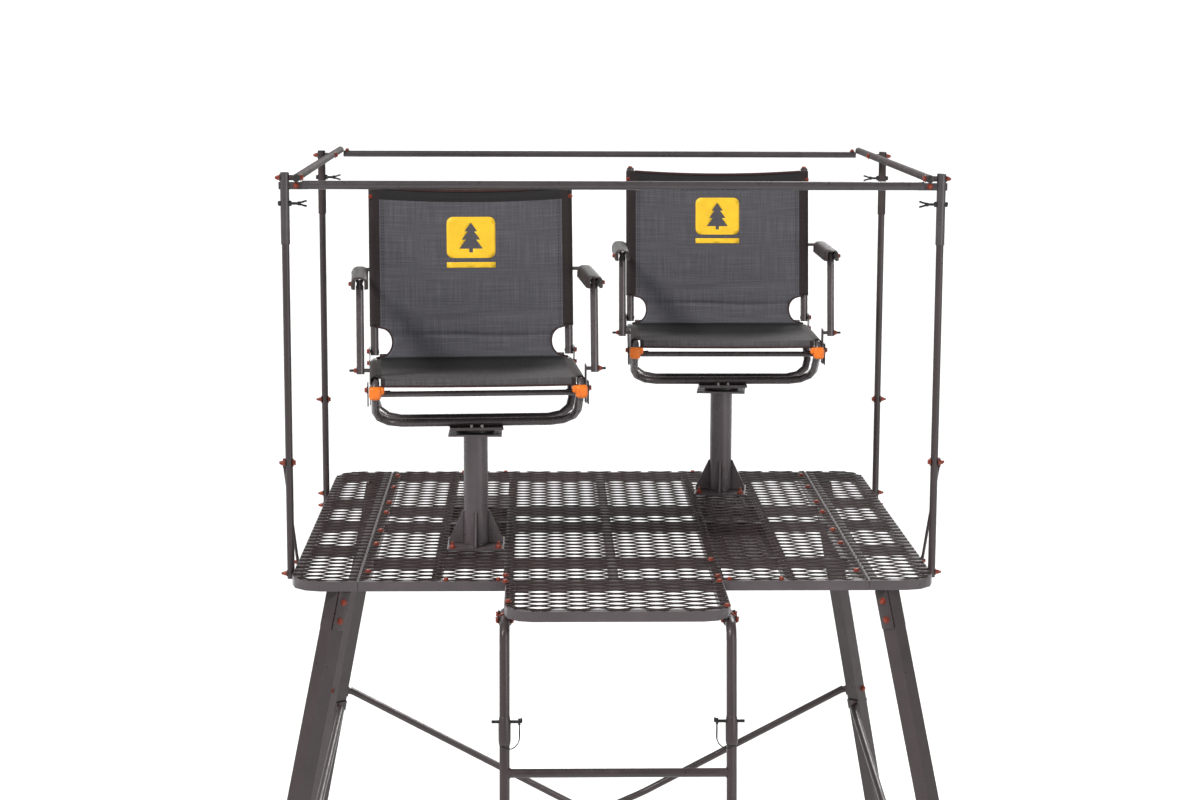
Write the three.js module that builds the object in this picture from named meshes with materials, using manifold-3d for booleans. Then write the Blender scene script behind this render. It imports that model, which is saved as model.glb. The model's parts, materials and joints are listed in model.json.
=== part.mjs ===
// Two-seat quadpod hunting platform: four splayed legs, a ladder, a decked platform,
// a height-adjustable rail and two swivelling chairs whose backs fold forward.
// Millimetres, +Z up. The front, with the ladder, faces -Y.
import * as THREE from 'three';
import { mergeVertices } from 'three/addons/utils/BufferGeometryUtils.js';
import Module from 'manifold-3d';

const wasm = await Module();
wasm.setup();

// ---------------------------------------------------------------- driving dimensions
// Heights are counted from the top of the platform's tubes; the ground is DECK_HEIGHT below.
const DECK_HEIGHT = 3048;
const GROUND = -DECK_HEIGHT;
const GAP = 0.4;

const PLATFORM = { halfX: 810, halfY: 737, cornerRadius: 80, tube: 25, wall: 1.6 };
const SEAM_X = 640;
const LANDING = { halfX: 272, frontY: -1052, cornerRadius: 70 };
const CENTRE_TUBES_X = [-445, -265, 0, 265, 445];
const CENTRE_TUBES_Y = [195, -27, -480];
const WING_TUBES_Y = [303, -10, -330];
const SEAT_PLATE = { x: 355, width: 204, y: 10, length: 960, thickness: 3 };

const DECK = { thickness: 2, pitchX: 376, pitchY: 160, bar: 34, border: 12 };
const WING_HOLES = { rows: 9, halfX: 50, web: 16, margin: 0.4 };

const LEG = { side: 42, wall: 2, x: 688, y: 705, splayX: 0.195, splayY: 0.157 };
const FOOT = { size: 120, thickness: 6, hole: 7, holeInset: 16 };
const BRACE = { radius: 11, wall: 1.5, topZ: -720, sideTopZ: -764, backLowZ: -1722, sideLowZ: -1300 };

const LADDER = { halfX: 270, radius: 12.7, wall: 1.5, slope: 0.157, topY: -1040, topZ: -50 };
const RUNG = { radius: 11, wall: 1.4, first: -383, spacing: 305, count: 9 };
const LADDER_JOINTS = [-319, -1720];
const SPIGOT = { radius: 10.2, length: 84, shoulder: 30, squareEnd: 2.6 };
const LADDER_PAD = { size: 70, thickness: 4 };
const PIN = { radius: 4, aboveJoint: 57, inner: 32, outer: 31 };

const POST = { x: 820, frontY: -590, backY: 444, radius: 9.5, wall: 1.5, top: 965 };
const SLEEVE = { radius: 11.5, bore: 9.95, neck: 10.9, collarTop: 939, top: 1007, boreTop: 984 };
const STRUT = { topX: 834, topZ: 275, footX: 814.5, footY: -470, footZ: -12 };
const SLEEVE_BOTTOM = { front: 829, back: 825 };
const RAIL = { frontZ: 977, frontRadius: 11, sideX: 790, sideZ: 995, sideRadius: 10, frontEnd: -602,
  backEnd: 752, backY: 740, backZ: 983.5, backRadius: 9.5, flatEnd: 30 };
const LOCK_SCREW_Z = 931;
const LOCK = { radius: 3.5, collar: 7, stem: 27, prong: 16, prongRadius: 2.6, spread: 7 };

const SEATS = [
  { side: 'left', x: -355, y: -326, yaw: 4, baseYaw: 0 },
  { side: 'right', x: 352, y: 413, yaw: 0, baseYaw: -6 },
];
const PEDESTAL = { base: 150, plate: 6, post: 32, wall: 3, top: 307, swivel: 140, swivelPlate: 5 };
const GUSSET = { reach: 72, height: 95, thickness: 5 };
const CHAIR = { tube: 11, wall: 1.6, halfX: 263, bearing: 46, plateBottom: 324, plateTop: 330 };
const CHAIR_LINE = { baseZ: 341, baseY: 35, bend: 68, sideZ: 468, front: -190, rear: 205 };
const KNUCKLE = { y: -175, z: 442 };
const FRONT_BAR = { z: 438, radius: 7.5 };
const PLATE = { x: 276.2, thickness: 2.4, width: 36, low: 412, rearLow: 455, high: 511 };
const SLING = { halfX: 274, thickness: 2.6, front: -200, rear: 165, backBottom: 556, backTop: 930 };
const BACK_BARS = [585, 860];
const STRAP = { thickness: 4, height: 18 };
const PIVOT = { backY: 190, linkY: -170, z: 500, armZ: 718, pin: 5, recline: 9, openClearance: 1.2 };
const ARM = { x: 300, linkRadius: 10, padWidth: 44, channel: 22.4, padBottom: 705, padTop: 738, front: -166, rear: 128,
  endWall: 6, headroom: 4.6 };
const BACK_TOP = 943;

const OUTER_SIDES = 12;
const BORE_SIDES = 6;

// ---------------------------------------------------------------- finishes
const finishes = {
  frame: { color: 0x575254, roughness: 0.55, metalness: 0.4 },
  deck: { color: 0x4c4748, roughness: 0.6, metalness: 0.4 },
  black: { color: 0x1c1b1b, roughness: 0.5, metalness: 0.3 },
  fabric: { color: 0x3a3a3c, roughness: 0.9, metalness: 0 },
  foam: { color: 0x2a211d, roughness: 0.8, metalness: 0 },
};

// ---------------------------------------------------------------- solids
function solidOf(geometry) {
  const plain = geometry.clone();
  for (const name of ['normal', 'uv']) plain.deleteAttribute(name);
  const merged = mergeVertices(plain, 1e-4);
  return new wasm.Manifold(new wasm.Mesh({
    numProp: 3,
    vertProperties: new Float32Array(merged.attributes.position.array),
    triVerts: new Uint32Array(merged.index.array),
  }));
}

function geometryOf(solid) {
  const mesh = solid.getMesh();
  const geometry = new THREE.BufferGeometry();
  geometry.setAttribute('position', new THREE.BufferAttribute(new Float32Array(mesh.vertProperties), 3));
  geometry.setIndex(new THREE.BufferAttribute(new Uint32Array(mesh.triVerts), 1));
  geometry.computeVertexNormals();
  return geometry;
}

const join = (...solids) => solids.flat().reduce((whole, next) => whole.add(next));
const cut = (body, ...tools) => tools.flat().reduce((rest, tool) => rest.subtract(tool), body);

function named(name, solid, finish) {
  const mesh = new THREE.Mesh(geometryOf(solid), new THREE.MeshStandardMaterial(finishes[finish]));
  mesh.name = name;
  return mesh;
}

function block(centre, size) {
  const geometry = new THREE.BoxGeometry(...size);
  geometry.translate(...centre);
  return solidOf(geometry);
}

function circle(radius, sides) {
  const shape = new THREE.Shape();
  for (let i = 0; i < sides; i += 1) {
    const angle = ((i + 0.5) * 2 * Math.PI) / sides;
    const point = [radius * Math.cos(angle), radius * Math.sin(angle)];
    if (i === 0) shape.moveTo(...point);
    else shape.lineTo(...point);
  }
  shape.closePath();
  return shape;
}

function polygonSquare(side, turned) {
  const half = side / 2;
  const corners = turned
    ? [[half * Math.SQRT2, 0], [0, half * Math.SQRT2], [-half * Math.SQRT2, 0], [0, -half * Math.SQRT2]]
    : [[half, -half], [half, half], [-half, half], [-half, -half]];
  return new THREE.Shape(corners.map(([x, y]) => new THREE.Vector2(x, y)));
}

function rod(from, to, radius, sides = OUTER_SIDES) {
  const start = new THREE.Vector3(...from);
  const end = new THREE.Vector3(...to);
  const axis = end.clone().sub(start);
  const geometry = new THREE.CylinderGeometry(radius, radius, axis.length(), sides);
  const turn = new THREE.Quaternion().setFromUnitVectors(new THREE.Vector3(0, 1, 0), axis.clone().normalize());
  geometry.applyQuaternion(turn);
  geometry.translate(...start.add(end).multiplyScalar(0.5).toArray());
  return solidOf(geometry);
}

// A prism whose ends stay level while its centre line leans from one point to another.
function leaning(shape, bottom, top) {
  const height = top[2] - bottom[2];
  const geometry = new THREE.ExtrudeGeometry(shape, { depth: height, bevelEnabled: false });
  const lean = new THREE.Matrix4().set(
    1, 0, (top[0] - bottom[0]) / height, bottom[0],
    0, 1, (top[1] - bottom[1]) / height, bottom[1],
    0, 0, 1, bottom[2],
    0, 0, 0, 1,
  );
  geometry.applyMatrix4(lean);
  return solidOf(geometry);
}

// A route through corner points, with each inner corner rounded by an arc.
class Route extends THREE.Curve {
  constructor(corners, bend, arcSteps = 3) {
    super();
    const points = corners.map((corner) => new THREE.Vector3(...corner));
    this.stops = [points[0]];
    for (let i = 1; i < points.length - 1; i += 1) {
      const into = points[i].clone().sub(points[i - 1]).normalize();
      const out = points[i + 1].clone().sub(points[i]).normalize();
      const half = into.angleTo(out) / 2;
      const reach = bend * Math.tan(half);
      const towards = out.clone().sub(into).normalize();
      const centre = points[i].clone().addScaledVector(towards, bend / Math.cos(half));
      const first = points[i].clone().addScaledVector(into, -reach).sub(centre);
      const axis = into.clone().cross(out).normalize();
      for (let step = 0; step <= arcSteps; step += 1) {
        this.stops.push(first.clone().applyAxisAngle(axis, (2 * half * step) / arcSteps).add(centre));
      }
    }
    this.stops.push(points[points.length - 1]);
    this.steps = this.stops.length - 1;
  }

  getPoint(t, target = new THREE.Vector3()) {
    const place = Math.min(t * this.steps, this.steps);
    const index = Math.min(Math.floor(place + 1e-9), this.steps - 1);
    return target.lerpVectors(this.stops[index], this.stops[index + 1], place - index);
  }

  getPointAt(u, target) {
    return this.getPoint(u, target);
  }

  getTangentAt(u, target = new THREE.Vector3()) {
    const index = Math.round(u * this.steps);
    const before = this.stops[Math.max(index - 1, 0)];
    const here = this.stops[index];
    const after = this.stops[Math.min(index + 1, this.steps)];
    const into = here.clone().sub(before).normalize();
    const out = after.clone().sub(here).normalize();
    return target.copy(into.add(out)).normalize();
  }
}

function along(shape, corners, bend, arcSteps = 3) {
  const route = new Route(corners, bend, arcSteps);
  return solidOf(new THREE.ExtrudeGeometry(shape, { steps: route.steps, extrudePath: route, bevelEnabled: false }));
}

// A list of tube runs becomes one hollow weldment: all outsides joined, all bores cut.
function weldment(runs, extras = []) {
  const outside = runs.map((run) => run.outside);
  const bores = runs.filter((run) => run.bore).map((run) => run.bore);
  return cut(join(...outside, ...extras), ...bores);
}

function roundRun(corners, bend, radius, wall) {
  return {
    outside: along(circle(radius, OUTER_SIDES), corners, bend),
    bore: along(circle(radius - wall, BORE_SIDES), corners, bend),
  };
}

// A straight square tube in the platform's plane; its bore runs `reach` past each end, and an end that
// opens into another tube runs WELD into its wall. Tubes that meet are a hair `slimmer` than the one they
// meet, so that no two faces lie in one plane.
const WELD = 0.8;
function squareRun(from, to, reach = 0, slimmer = 0) {
  const z = -PLATFORM.tube / 2;
  const across = from[0] === to[0];
  const size = PLATFORM.tube - slimmer;
  const inside = size - 2 * PLATFORM.wall;
  const middle = [(from[0] + to[0]) / 2, (from[1] + to[1]) / 2, z];
  const length = Math.hypot(to[0] - from[0], to[1] - from[1]);
  const welded = length + (reach > 1 ? 2 * WELD : 0);
  const outer = across ? [size, welded, size] : [welded, size, size];
  const inner = across ? [inside, length + 2 * reach, inside] : [length + 2 * reach, inside, inside];
  return { outside: block(middle, outer), bore: block(middle, inner) };
}

const half = PLATFORM.tube / 2;
const END_Y = PLATFORM.halfY - half;
const parts = new THREE.Group();
const put = (name, solid, finish) => parts.add(named(name, solid, finish));
const sides = [['left', -1], ['right', 1]];
const ends = [['front', -1], ['back', 1]];

// ---------------------------------------------------------------- platform frames
function centreFrame() {
  const seamX = SEAM_X - GAP - half;
  const inner = END_Y - half;
  const runs = [-END_Y, END_Y].map((y) => squareRun([-SEAM_X + GAP, y], [SEAM_X - GAP, y], 1));
  for (const x of [-seamX, ...CENTRE_TUBES_X, seamX]) runs.push(squareRun([x, -inner], [x, inner], 4, 0.2));
  for (const y of CENTRE_TUBES_Y) runs.push(squareRun([-seamX + half, y], [seamX - half, y], 4, 0.4));
  const plates = [-1, 1].map((side) => block(
    [side * SEAT_PLATE.x, SEAT_PLATE.y, -PLATFORM.tube - SEAT_PLATE.thickness / 2 + WELD],
    [SEAT_PLATE.width, SEAT_PLATE.length, SEAT_PLATE.thickness],
  ));
  return weldment(runs, plates);
}

function wingFrame(side) {
  const edge = side * (PLATFORM.halfX - half);
  const seam = side * (SEAM_X + GAP);
  const bend = PLATFORM.cornerRadius - half;
  const corners = [[seam, -END_Y, -half], [edge, -END_Y, -half], [edge, END_Y, -half], [seam, END_Y, -half]];
  const rim = {
    outside: along(polygonSquare(PLATFORM.tube, false), corners, bend),
    bore: along(polygonSquare(PLATFORM.tube - 2 * PLATFORM.wall, false), corners, bend),
  };
  const innerX = seam + side * half;
  const inner = END_Y - half;
  const runs = [rim, squareRun([innerX, -inner], [innerX, inner], 4, 0.2)];
  for (const y of WING_TUBES_Y) runs.push(squareRun([innerX + side * half, y], [edge - side * half, y], 4, 0.4));
  return weldment(runs);
}

function landingFrame() {
  const x = LANDING.halfX - half;
  const rear = -PLATFORM.halfY - GAP;
  const front = LANDING.frontY + half;
  const corners = [[-x, rear, -half], [-x, front, -half], [x, front, -half], [x, rear, -half]];
  const bend = LANDING.cornerRadius - half;
  return cut(
    along(polygonSquare(PLATFORM.tube, false), corners, bend),
    along(polygonSquare(PLATFORM.tube - 2 * PLATFORM.wall, false), corners, bend),
  );
}

put('centre_frame', centreFrame(), 'frame');
for (const [word, side] of sides) put(`wing_frame_${word}`, wingFrame(side), 'frame');
put('landing_frame', landingFrame(), 'frame');

// ---------------------------------------------------------------- deck grilles
function diamond(x, y) {
  const reachX = DECK.pitchX / 2 - DECK.bar;
  const reachY = DECK.pitchY / 2 - DECK.bar / 2;
  const shape = new THREE.Path();
  shape.moveTo(x - reachX, y);
  shape.lineTo(x, y - reachY);
  shape.lineTo(x + reachX, y);
  shape.lineTo(x, y + reachY);
  shape.closePath();
  return shape;
}

function grille(outline, lowX, highX, lowY, highY) {
  const stepX = DECK.pitchX / 2;
  const columns = Math.floor((highX - lowX - 2 * DECK.border) / stepX) - 1;
  const startX = (lowX + highX) / 2 - ((columns - 1) * stepX) / 2;
  for (let column = 0; column < columns; column += 1) {
    const x = startX + column * stepX;
    const shift = column % 2 === 0 ? 0 : DECK.pitchY / 2;
    const rows = Math.floor((highY - lowY - 2 * DECK.border - DECK.pitchY / 2) / DECK.pitchY);
    const startY = (lowY + highY) / 2 - ((rows - 1) * DECK.pitchY) / 2 - DECK.pitchY / 4;
    for (let row = 0; row < rows; row += 1) outline.holes.push(diamond(x, startY + shift + row * DECK.pitchY));
  }
  const geometry = new THREE.ExtrudeGeometry(outline, { depth: DECK.thickness, bevelEnabled: false });
  geometry.translate(0, 0, GAP);
  return solidOf(geometry);
}

function roundedSheet(lowX, highX, lowY, highY, rounded, radius) {
  const shape = new THREE.Shape();
  const corners = [[lowX, lowY], [highX, lowY], [highX, highY], [lowX, highY]];
  const inward = [[1, 1], [-1, 1], [-1, -1], [1, -1]];
  const points = [];
  corners.forEach(([x, y], i) => {
    if (!rounded[i]) {
      points.push([x, y]);
      return;
    }
    const from = Math.PI * (1 + i / 2);
    for (let step = 0; step <= 4; step += 1) {
      const angle = from + (step * Math.PI) / 8;
      const centre = [x + inward[i][0] * radius, y + inward[i][1] * radius];
      points.push([centre[0] + radius * Math.cos(angle), centre[1] + radius * Math.sin(angle)]);
    }
  });
  points.forEach(([x, y], i) => (i === 0 ? shape.moveTo(x, y) : shape.lineTo(x, y)));
  shape.closePath();
  return shape;
}

const sheetY = PLATFORM.halfY - 3;
const sheetX = PLATFORM.halfX - 3;
const seamSheet = SEAM_X - 3;
const centreOutline = roundedSheet(-seamSheet, seamSheet, -sheetY, sheetY, [0, 0, 0, 0], 0);
put('deck_centre', grille(centreOutline, -seamSheet, seamSheet, -sheetY, sheetY), 'deck');

function wingDeck(side) {
  const near = side * (SEAM_X + 3);
  const far = side * sheetX;
  const low = Math.min(near, far);
  const high = Math.max(near, far);
  const rounded = side > 0 ? [0, 1, 1, 0] : [1, 0, 0, 1];
  const outline = roundedSheet(low, high, -sheetY, sheetY, rounded, PLATFORM.cornerRadius);
  const { rows, halfX, web, margin } = WING_HOLES;
  const pitch = (2 * sheetY) / (rows + margin);
  for (let row = 0; row < rows; row += 1) {
    const middle = new THREE.Vector2((low + high) / 2, (row - (rows - 1) / 2) * pitch);
    const hole = new THREE.Path();
    hole.moveTo(middle.x - halfX, middle.y);
    hole.lineTo(middle.x, middle.y - pitch / 2 + web);
    hole.lineTo(middle.x + halfX, middle.y);
    hole.lineTo(middle.x, middle.y + pitch / 2 - web);
    hole.closePath();
    outline.holes.push(hole);
  }
  const geometry = new THREE.ExtrudeGeometry(outline, { depth: DECK.thickness, bevelEnabled: false });
  geometry.translate(0, 0, GAP);
  return solidOf(geometry);
}

for (const [word, side] of sides) put(`deck_${word}`, wingDeck(side), 'deck');
const landingX = LANDING.halfX - 3;
const landingOutline = roundedSheet(-landingX, landingX, LANDING.frontY + 3, -PLATFORM.halfY - 3, [1, 1, 0, 0],
  LANDING.cornerRadius);
put('deck_landing', grille(landingOutline, -landingX, landingX, LANDING.frontY + 3, -PLATFORM.halfY - 3), 'deck');

// ---------------------------------------------------------------- legs, feet and braces
function legPoint(side, end, z) {
  const drop = -z - PLATFORM.tube;
  return [side * (LEG.x + LEG.splayX * drop), end * (LEG.y + LEG.splayY * drop), z];
}

function leg(side, end) {
  const top = legPoint(side, end, -PLATFORM.tube - GAP);
  const bottom = legPoint(side, end, GROUND + FOOT.thickness + GAP);
  return cut(
    leaning(polygonSquare(LEG.side, true), bottom, top),
    leaning(polygonSquare(LEG.side - 2 * LEG.wall, true), bottom, top),
  );
}

function foot(side, end) {
  const [x, y] = legPoint(side, end, GROUND);
  const shape = polygonSquare(FOOT.size, false);
  const reach = FOOT.size / 2 - FOOT.holeInset;
  for (const [dx, dy] of [[-1, -1], [1, -1], [1, 1], [-1, 1]]) {
    const hole = circle(FOOT.hole, 8).getPoints().map((p) => new THREE.Vector2(p.x + dx * reach, p.y + dy * reach));
    shape.holes.push(new THREE.Path(hole));
  }
  const geometry = new THREE.ExtrudeGeometry(shape, { depth: FOOT.thickness, bevelEnabled: false });
  geometry.translate(x, y, GROUND);
  return solidOf(geometry);
}

for (const [endWord, end] of ends) {
  for (const [sideWord, side] of sides) {
    put(`leg_${endWord}_${sideWord}`, leg(side, end), 'frame');
    put(`foot_${endWord}_${sideWord}`, foot(side, end), 'frame');
  }
}

const TAB = { length: 41, width: 32, thickness: 4, reach: 12, neck: 7.5, lift: 10, plug: 24 };
const CROSSING = { offset: 24, flat: 60, ramp: 170, bend: 120 };

// A flattened brace end lying on one face of a leg, and the point where the round tube leaves it.
function braceEnd(side, end, z, facing) {
  const axis = new THREE.Vector3(side * LEG.splayX, end * LEG.splayY, -1).normalize();
  const normal = new THREE.Vector3(facing[0], facing[1], 0).normalize();
  normal.addScaledVector(axis, -normal.dot(axis)).normalize();
  const tangent = axis.clone().cross(normal);
  const face = new THREE.Vector3(...legPoint(side, end, z)).addScaledVector(normal, LEG.side / 2 + GAP);
  const geometry = new THREE.BoxGeometry(TAB.length, TAB.thickness, TAB.width);
  geometry.applyMatrix4(new THREE.Matrix4().makeBasis(tangent, normal, axis.clone().negate()));
  geometry.translate(...face.clone().addScaledVector(normal, TAB.thickness / 2).toArray());
  return { tab: solidOf(geometry), face, normal, tangent };
}

// `crossing` bows the middle of the tube outward so that it passes behind the other brace.
function brace(from, to, crossing = 0) {
  const necks = [];
  const [start, end] = [[from, to], [to, from]].map(([here, there]) => {
    const way = Math.sign(here.tangent.dot(there.face.clone().sub(here.face)));
    const root = here.face.clone().addScaledVector(here.tangent, way * TAB.reach);
    root.addScaledVector(here.normal, TAB.neck);
    const point = root.clone().addScaledVector(here.normal, TAB.lift);
    const run = there.face.clone().sub(here.face).normalize();
    necks.push(rod(root.toArray(), point.clone().addScaledVector(run, 12).toArray(), BRACE.radius - 0.6, 12));
    return point;
  });
  const corners = [start];
  if (crossing) {
    const middle = start.clone().lerp(end, start.x / (start.x - end.x));
    const way = end.clone().sub(start).normalize();
    const outward = new THREE.Vector3(0, crossing, 0);
    corners.push(middle.clone().addScaledVector(way, -CROSSING.ramp));
    corners.push(middle.clone().addScaledVector(way, -CROSSING.flat).add(outward));
    corners.push(middle.clone().addScaledVector(way, CROSSING.flat).add(outward));
    corners.push(middle.clone().addScaledVector(way, CROSSING.ramp));
  }
  corners.push(end);
  const shaped = (radius, count) => along(circle(radius, count), corners.map((point) => point.toArray()),
    CROSSING.bend, 1);
  const outside = shaped(BRACE.radius, OUTER_SIDES);
  const span = end.clone().sub(start).normalize();
  corners[0] = start.clone().addScaledVector(span, TAB.plug);
  corners[corners.length - 1] = end.clone().addScaledVector(span, -TAB.plug);
  const bore = shaped(BRACE.radius - BRACE.wall, BORE_SIDES);
  const drain = end.clone().lerp(start, 0.08);
  const drainHole = rod([drain.x, drain.y, drain.z - 30], drain.toArray(), 3, 8);
  return join(cut(outside, bore, drainHole), from.tab, to.tab, ...necks);
}

for (const [word, side, crossing] of [['a', -1, 0], ['b', 1, CROSSING.offset]]) {
  const from = braceEnd(side, 1, BRACE.topZ, [-side, 1]);
  const to = braceEnd(-side, 1, BRACE.backLowZ, [side, 1]);
  put(`back_brace_${word}`, brace(from, to, crossing), 'frame');
}
for (const [word, side] of sides) {
  const from = braceEnd(side, 1, BRACE.sideTopZ, [-side, -1]);
  const to = braceEnd(side, -1, BRACE.sideLowZ, [-side, 1]);
  put(`side_brace_${word}`, brace(from, to), 'frame');
}

// ---------------------------------------------------------------- ladder
function railPoint(side, z) {
  return [side * LADDER.halfX, LADDER.topY - LADDER.slope * (LADDER.topZ - z), z];
}

function rung(z) {
  const [x, y] = railPoint(1, z);
  return {
    outside: rod([-x, y, z], [x, y, z], RUNG.radius, OUTER_SIDES),
    bore: rod([-x + 6, y, z], [x - 6, y, z], RUNG.radius - RUNG.wall, BORE_SIDES),
  };
}

const rungHeights = Array.from({ length: RUNG.count }, (_, i) => RUNG.first - i * RUNG.spacing);
const pinHeights = LADDER_JOINTS.map((z) => z + PIN.aboveJoint);

function pinHole(side, z) {
  const [x, y] = railPoint(side, z);
  return rod([x - 40, y, z], [x + 40, y, z], PIN.radius + 0.5, 12);
}

const HOOK = { back: -905, z: -38.6, bend: 40 };

function ladderTop(side) {
  const corner = railPoint(side, HOOK.z);
  const bottom = railPoint(side, LADDER_JOINTS[0] + SPIGOT.squareEnd);
  const corners = [[corner[0], HOOK.back, HOOK.z], corner, bottom];
  return cut(
    along(circle(LADDER.radius, OUTER_SIDES), corners, HOOK.bend),
    along(circle(LADDER.radius - LADDER.wall, OUTER_SIDES), corners, HOOK.bend),
    pinHole(side, pinHeights[0]),
  );
}

// A section below a joint: two rails whose reduced ends plug up into the section above, and rungs.
function ladderSection(top, bottom, extras = []) {
  const tubes = [-1, 1].flatMap((side) => {
    const low = railPoint(side, bottom);
    const shoulder = railPoint(side, top - SPIGOT.shoulder);
    const tip = railPoint(side, top + SPIGOT.length);
    return [
      {
        outside: leaning(circle(LADDER.radius, OUTER_SIDES), low, railPoint(side, top)),
        bore: leaning(circle(LADDER.radius - LADDER.wall, OUTER_SIDES), low, shoulder),
      },
      {
        outside: leaning(circle(SPIGOT.radius, OUTER_SIDES), shoulder, tip),
        bore: leaning(circle(SPIGOT.radius - LADDER.wall, BORE_SIDES), shoulder, tip),
      },
    ];
  });
  const rungs = rungHeights.filter((z) => z < top && z > bottom).map(rung);
  const holes = pinHeights.filter((z) => z < top + SPIGOT.length && z > bottom)
    .flatMap((z) => [pinHole(-1, z), pinHole(1, z)]);
  return cut(weldment([...tubes, ...rungs], extras), ...holes);
}

function ladderPads() {
  return [-1, 1].map((side) => {
    const [x, y] = railPoint(side, GROUND);
    return block([x, y, GROUND + LADDER_PAD.thickness / 2], [LADDER_PAD.size, LADDER_PAD.size, LADDER_PAD.thickness]);
  });
}

function ladderPin(side, z) {
  const [x, y] = railPoint(side, z);
  const headX = x - side * (PIN.inner + 3);
  const shank = rod([x - side * PIN.inner, y, z], [x + side * PIN.outer, y, z], PIN.radius, 12);
  const head = rod([x - side * PIN.inner, y, z], [headX - side * 3, y, z], 8, 12);
  const loop = [[headX, y - 6, z - 4], [headX, y - 9, z - 44], [headX, y + 9, z - 44], [headX, y + 6, z - 4]];
  return join(shank, head, along(circle(1.6, 6), loop, 8, 2));
}

for (const [word, side] of sides) put(`ladder_top_${word}`, ladderTop(side), 'frame');
put('ladder_middle', ladderSection(LADDER_JOINTS[0], LADDER_JOINTS[1] + GAP), 'frame');
put('ladder_bottom', ladderSection(LADDER_JOINTS[1], GROUND, ladderPads()), 'frame');
for (const [word, side] of sides) {
  put(`ladder_pin_upper_${word}`, ladderPin(side, pinHeights[0]), 'black');
  put(`ladder_pin_lower_${word}`, ladderPin(side, pinHeights[1]), 'black');
}

// ---------------------------------------------------------------- posts and rail
const postY = { front: POST.frontY, back: POST.backY };
const postFoot = { front: -25, back: -52 };

function post(side, end) {
  const place = [side * POST.x, postY[end]];
  return cut(
    rod([...place, postFoot[end]], [...place, POST.top], POST.radius),
    rod([...place, postFoot[end] - 1], [...place, POST.top + 1], POST.radius - POST.wall, BORE_SIDES),
  );
}

function strut(side) {
  return rod([side * STRUT.topX, POST.frontY + 6, STRUT.topZ], [side * STRUT.footX, STRUT.footY, STRUT.footZ], 4, 8);
}

function sleeveBore(side, end) {
  const place = [side * POST.x, postY[end]];
  return rod([...place, SLEEVE_BOTTOM[end] - 1], [...place, SLEEVE.boreTop], SLEEVE.bore);
}

function sleeve(side, end) {
  const place = [side * POST.x, postY[end]];
  if (end === 'front') return rod([...place, SLEEVE_BOTTOM.front], [...place, SLEEVE.top], SLEEVE.radius);
  return join(
    rod([...place, SLEEVE_BOTTOM.back], [...place, SLEEVE.collarTop], SLEEVE.radius),
    rod([...place, SLEEVE.collarTop - 1], [...place, SLEEVE.top], SLEEVE.neck),
  );
}

function lockHole(side, end) {
  const inner = side * (POST.x - 20);
  return rod([inner, postY[end], LOCK_SCREW_Z], [side * POST.x, postY[end], LOCK_SCREW_Z], LOCK.radius + 0.5, 12);
}

function frontRail() {
  const y = POST.frontY;
  const endX = RAIL.sideX - RAIL.sideRadius - 4;
  const tube = rod([-endX, y, RAIL.frontZ], [endX, y, RAIL.frontZ], RAIL.frontRadius);
  const bore = rod([-endX - 1, y, RAIL.frontZ], [endX + 1, y, RAIL.frontZ], RAIL.frontRadius - 1.5, BORE_SIDES);
  const tabTop = RAIL.sideZ - RAIL.sideRadius - GAP;
  const tabBottom = RAIL.frontZ - RAIL.frontRadius;
  const tabs = [-1, 1].map((side) => block([side * (endX + POST.x) / 2, y, (tabTop + tabBottom) / 2],
    [POST.x - endX + RAIL.flatEnd, 6, tabTop - tabBottom]));
  const whole = join(cut(tube, bore), ...tabs, sleeve(-1, 'front'), sleeve(1, 'front'));
  return cut(whole, ...[-1, 1].flatMap((side) => [sleeveBore(side, 'front'), lockHole(side, 'front')]));
}

function sideRail(side) {
  const x = side * RAIL.sideX;
  const z = RAIL.sideZ;
  const tube = cut(
    rod([x, RAIL.frontEnd, z], [x, RAIL.backEnd, z], RAIL.sideRadius),
    rod([x, RAIL.frontEnd - 1, z], [x, RAIL.backEnd + 1, z], RAIL.sideRadius - 1.5, BORE_SIDES),
  );
  const faceX = side * (POST.x - SLEEVE.radius - GAP);
  const spacer = rod([x + side * 9, POST.frontY, z], [faceX, POST.frontY, z], 7, 12);
  const bolt = rod([x + side * 9, POST.backY, z], [side * POST.x, POST.backY, z], 7, 12);
  return cut(join(tube, sleeve(side, 'back'), spacer, bolt), sleeveBore(side, 'back'), lockHole(side, 'back'));
}

function backRail() {
  const x = RAIL.sideX - RAIL.sideRadius - GAP;
  return cut(
    rod([-x, RAIL.backY, RAIL.backZ], [x, RAIL.backY, RAIL.backZ], RAIL.backRadius),
    rod([-x - 1, RAIL.backY, RAIL.backZ], [x + 1, RAIL.backY, RAIL.backZ], RAIL.backRadius - 1.5, BORE_SIDES),
  );
}

// A thumb screw with a forked grip; its tip presses on the inner post.
function lockScrew(side, end) {
  const y = postY[end];
  const z = LOCK_SCREW_Z;
  const tip = side * (POST.x - POST.radius - GAP);
  const root = side * (POST.x - SLEEVE.radius - LOCK.stem);
  const prongs = [-1, 1].map((way) => rod([root + side * LOCK.radius, y, z + way * LOCK.prongRadius / 2],
    [root - side * LOCK.prong, y, z + way * LOCK.spread], LOCK.prongRadius, 10));
  const stem = rod([tip, y, z], [root, y, z], LOCK.radius, 12);
  const collar = rod([root + side * LOCK.collar, y, z], [root, y, z], LOCK.collar * 0.75, 12);
  return join(stem, collar, ...prongs);
}

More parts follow.
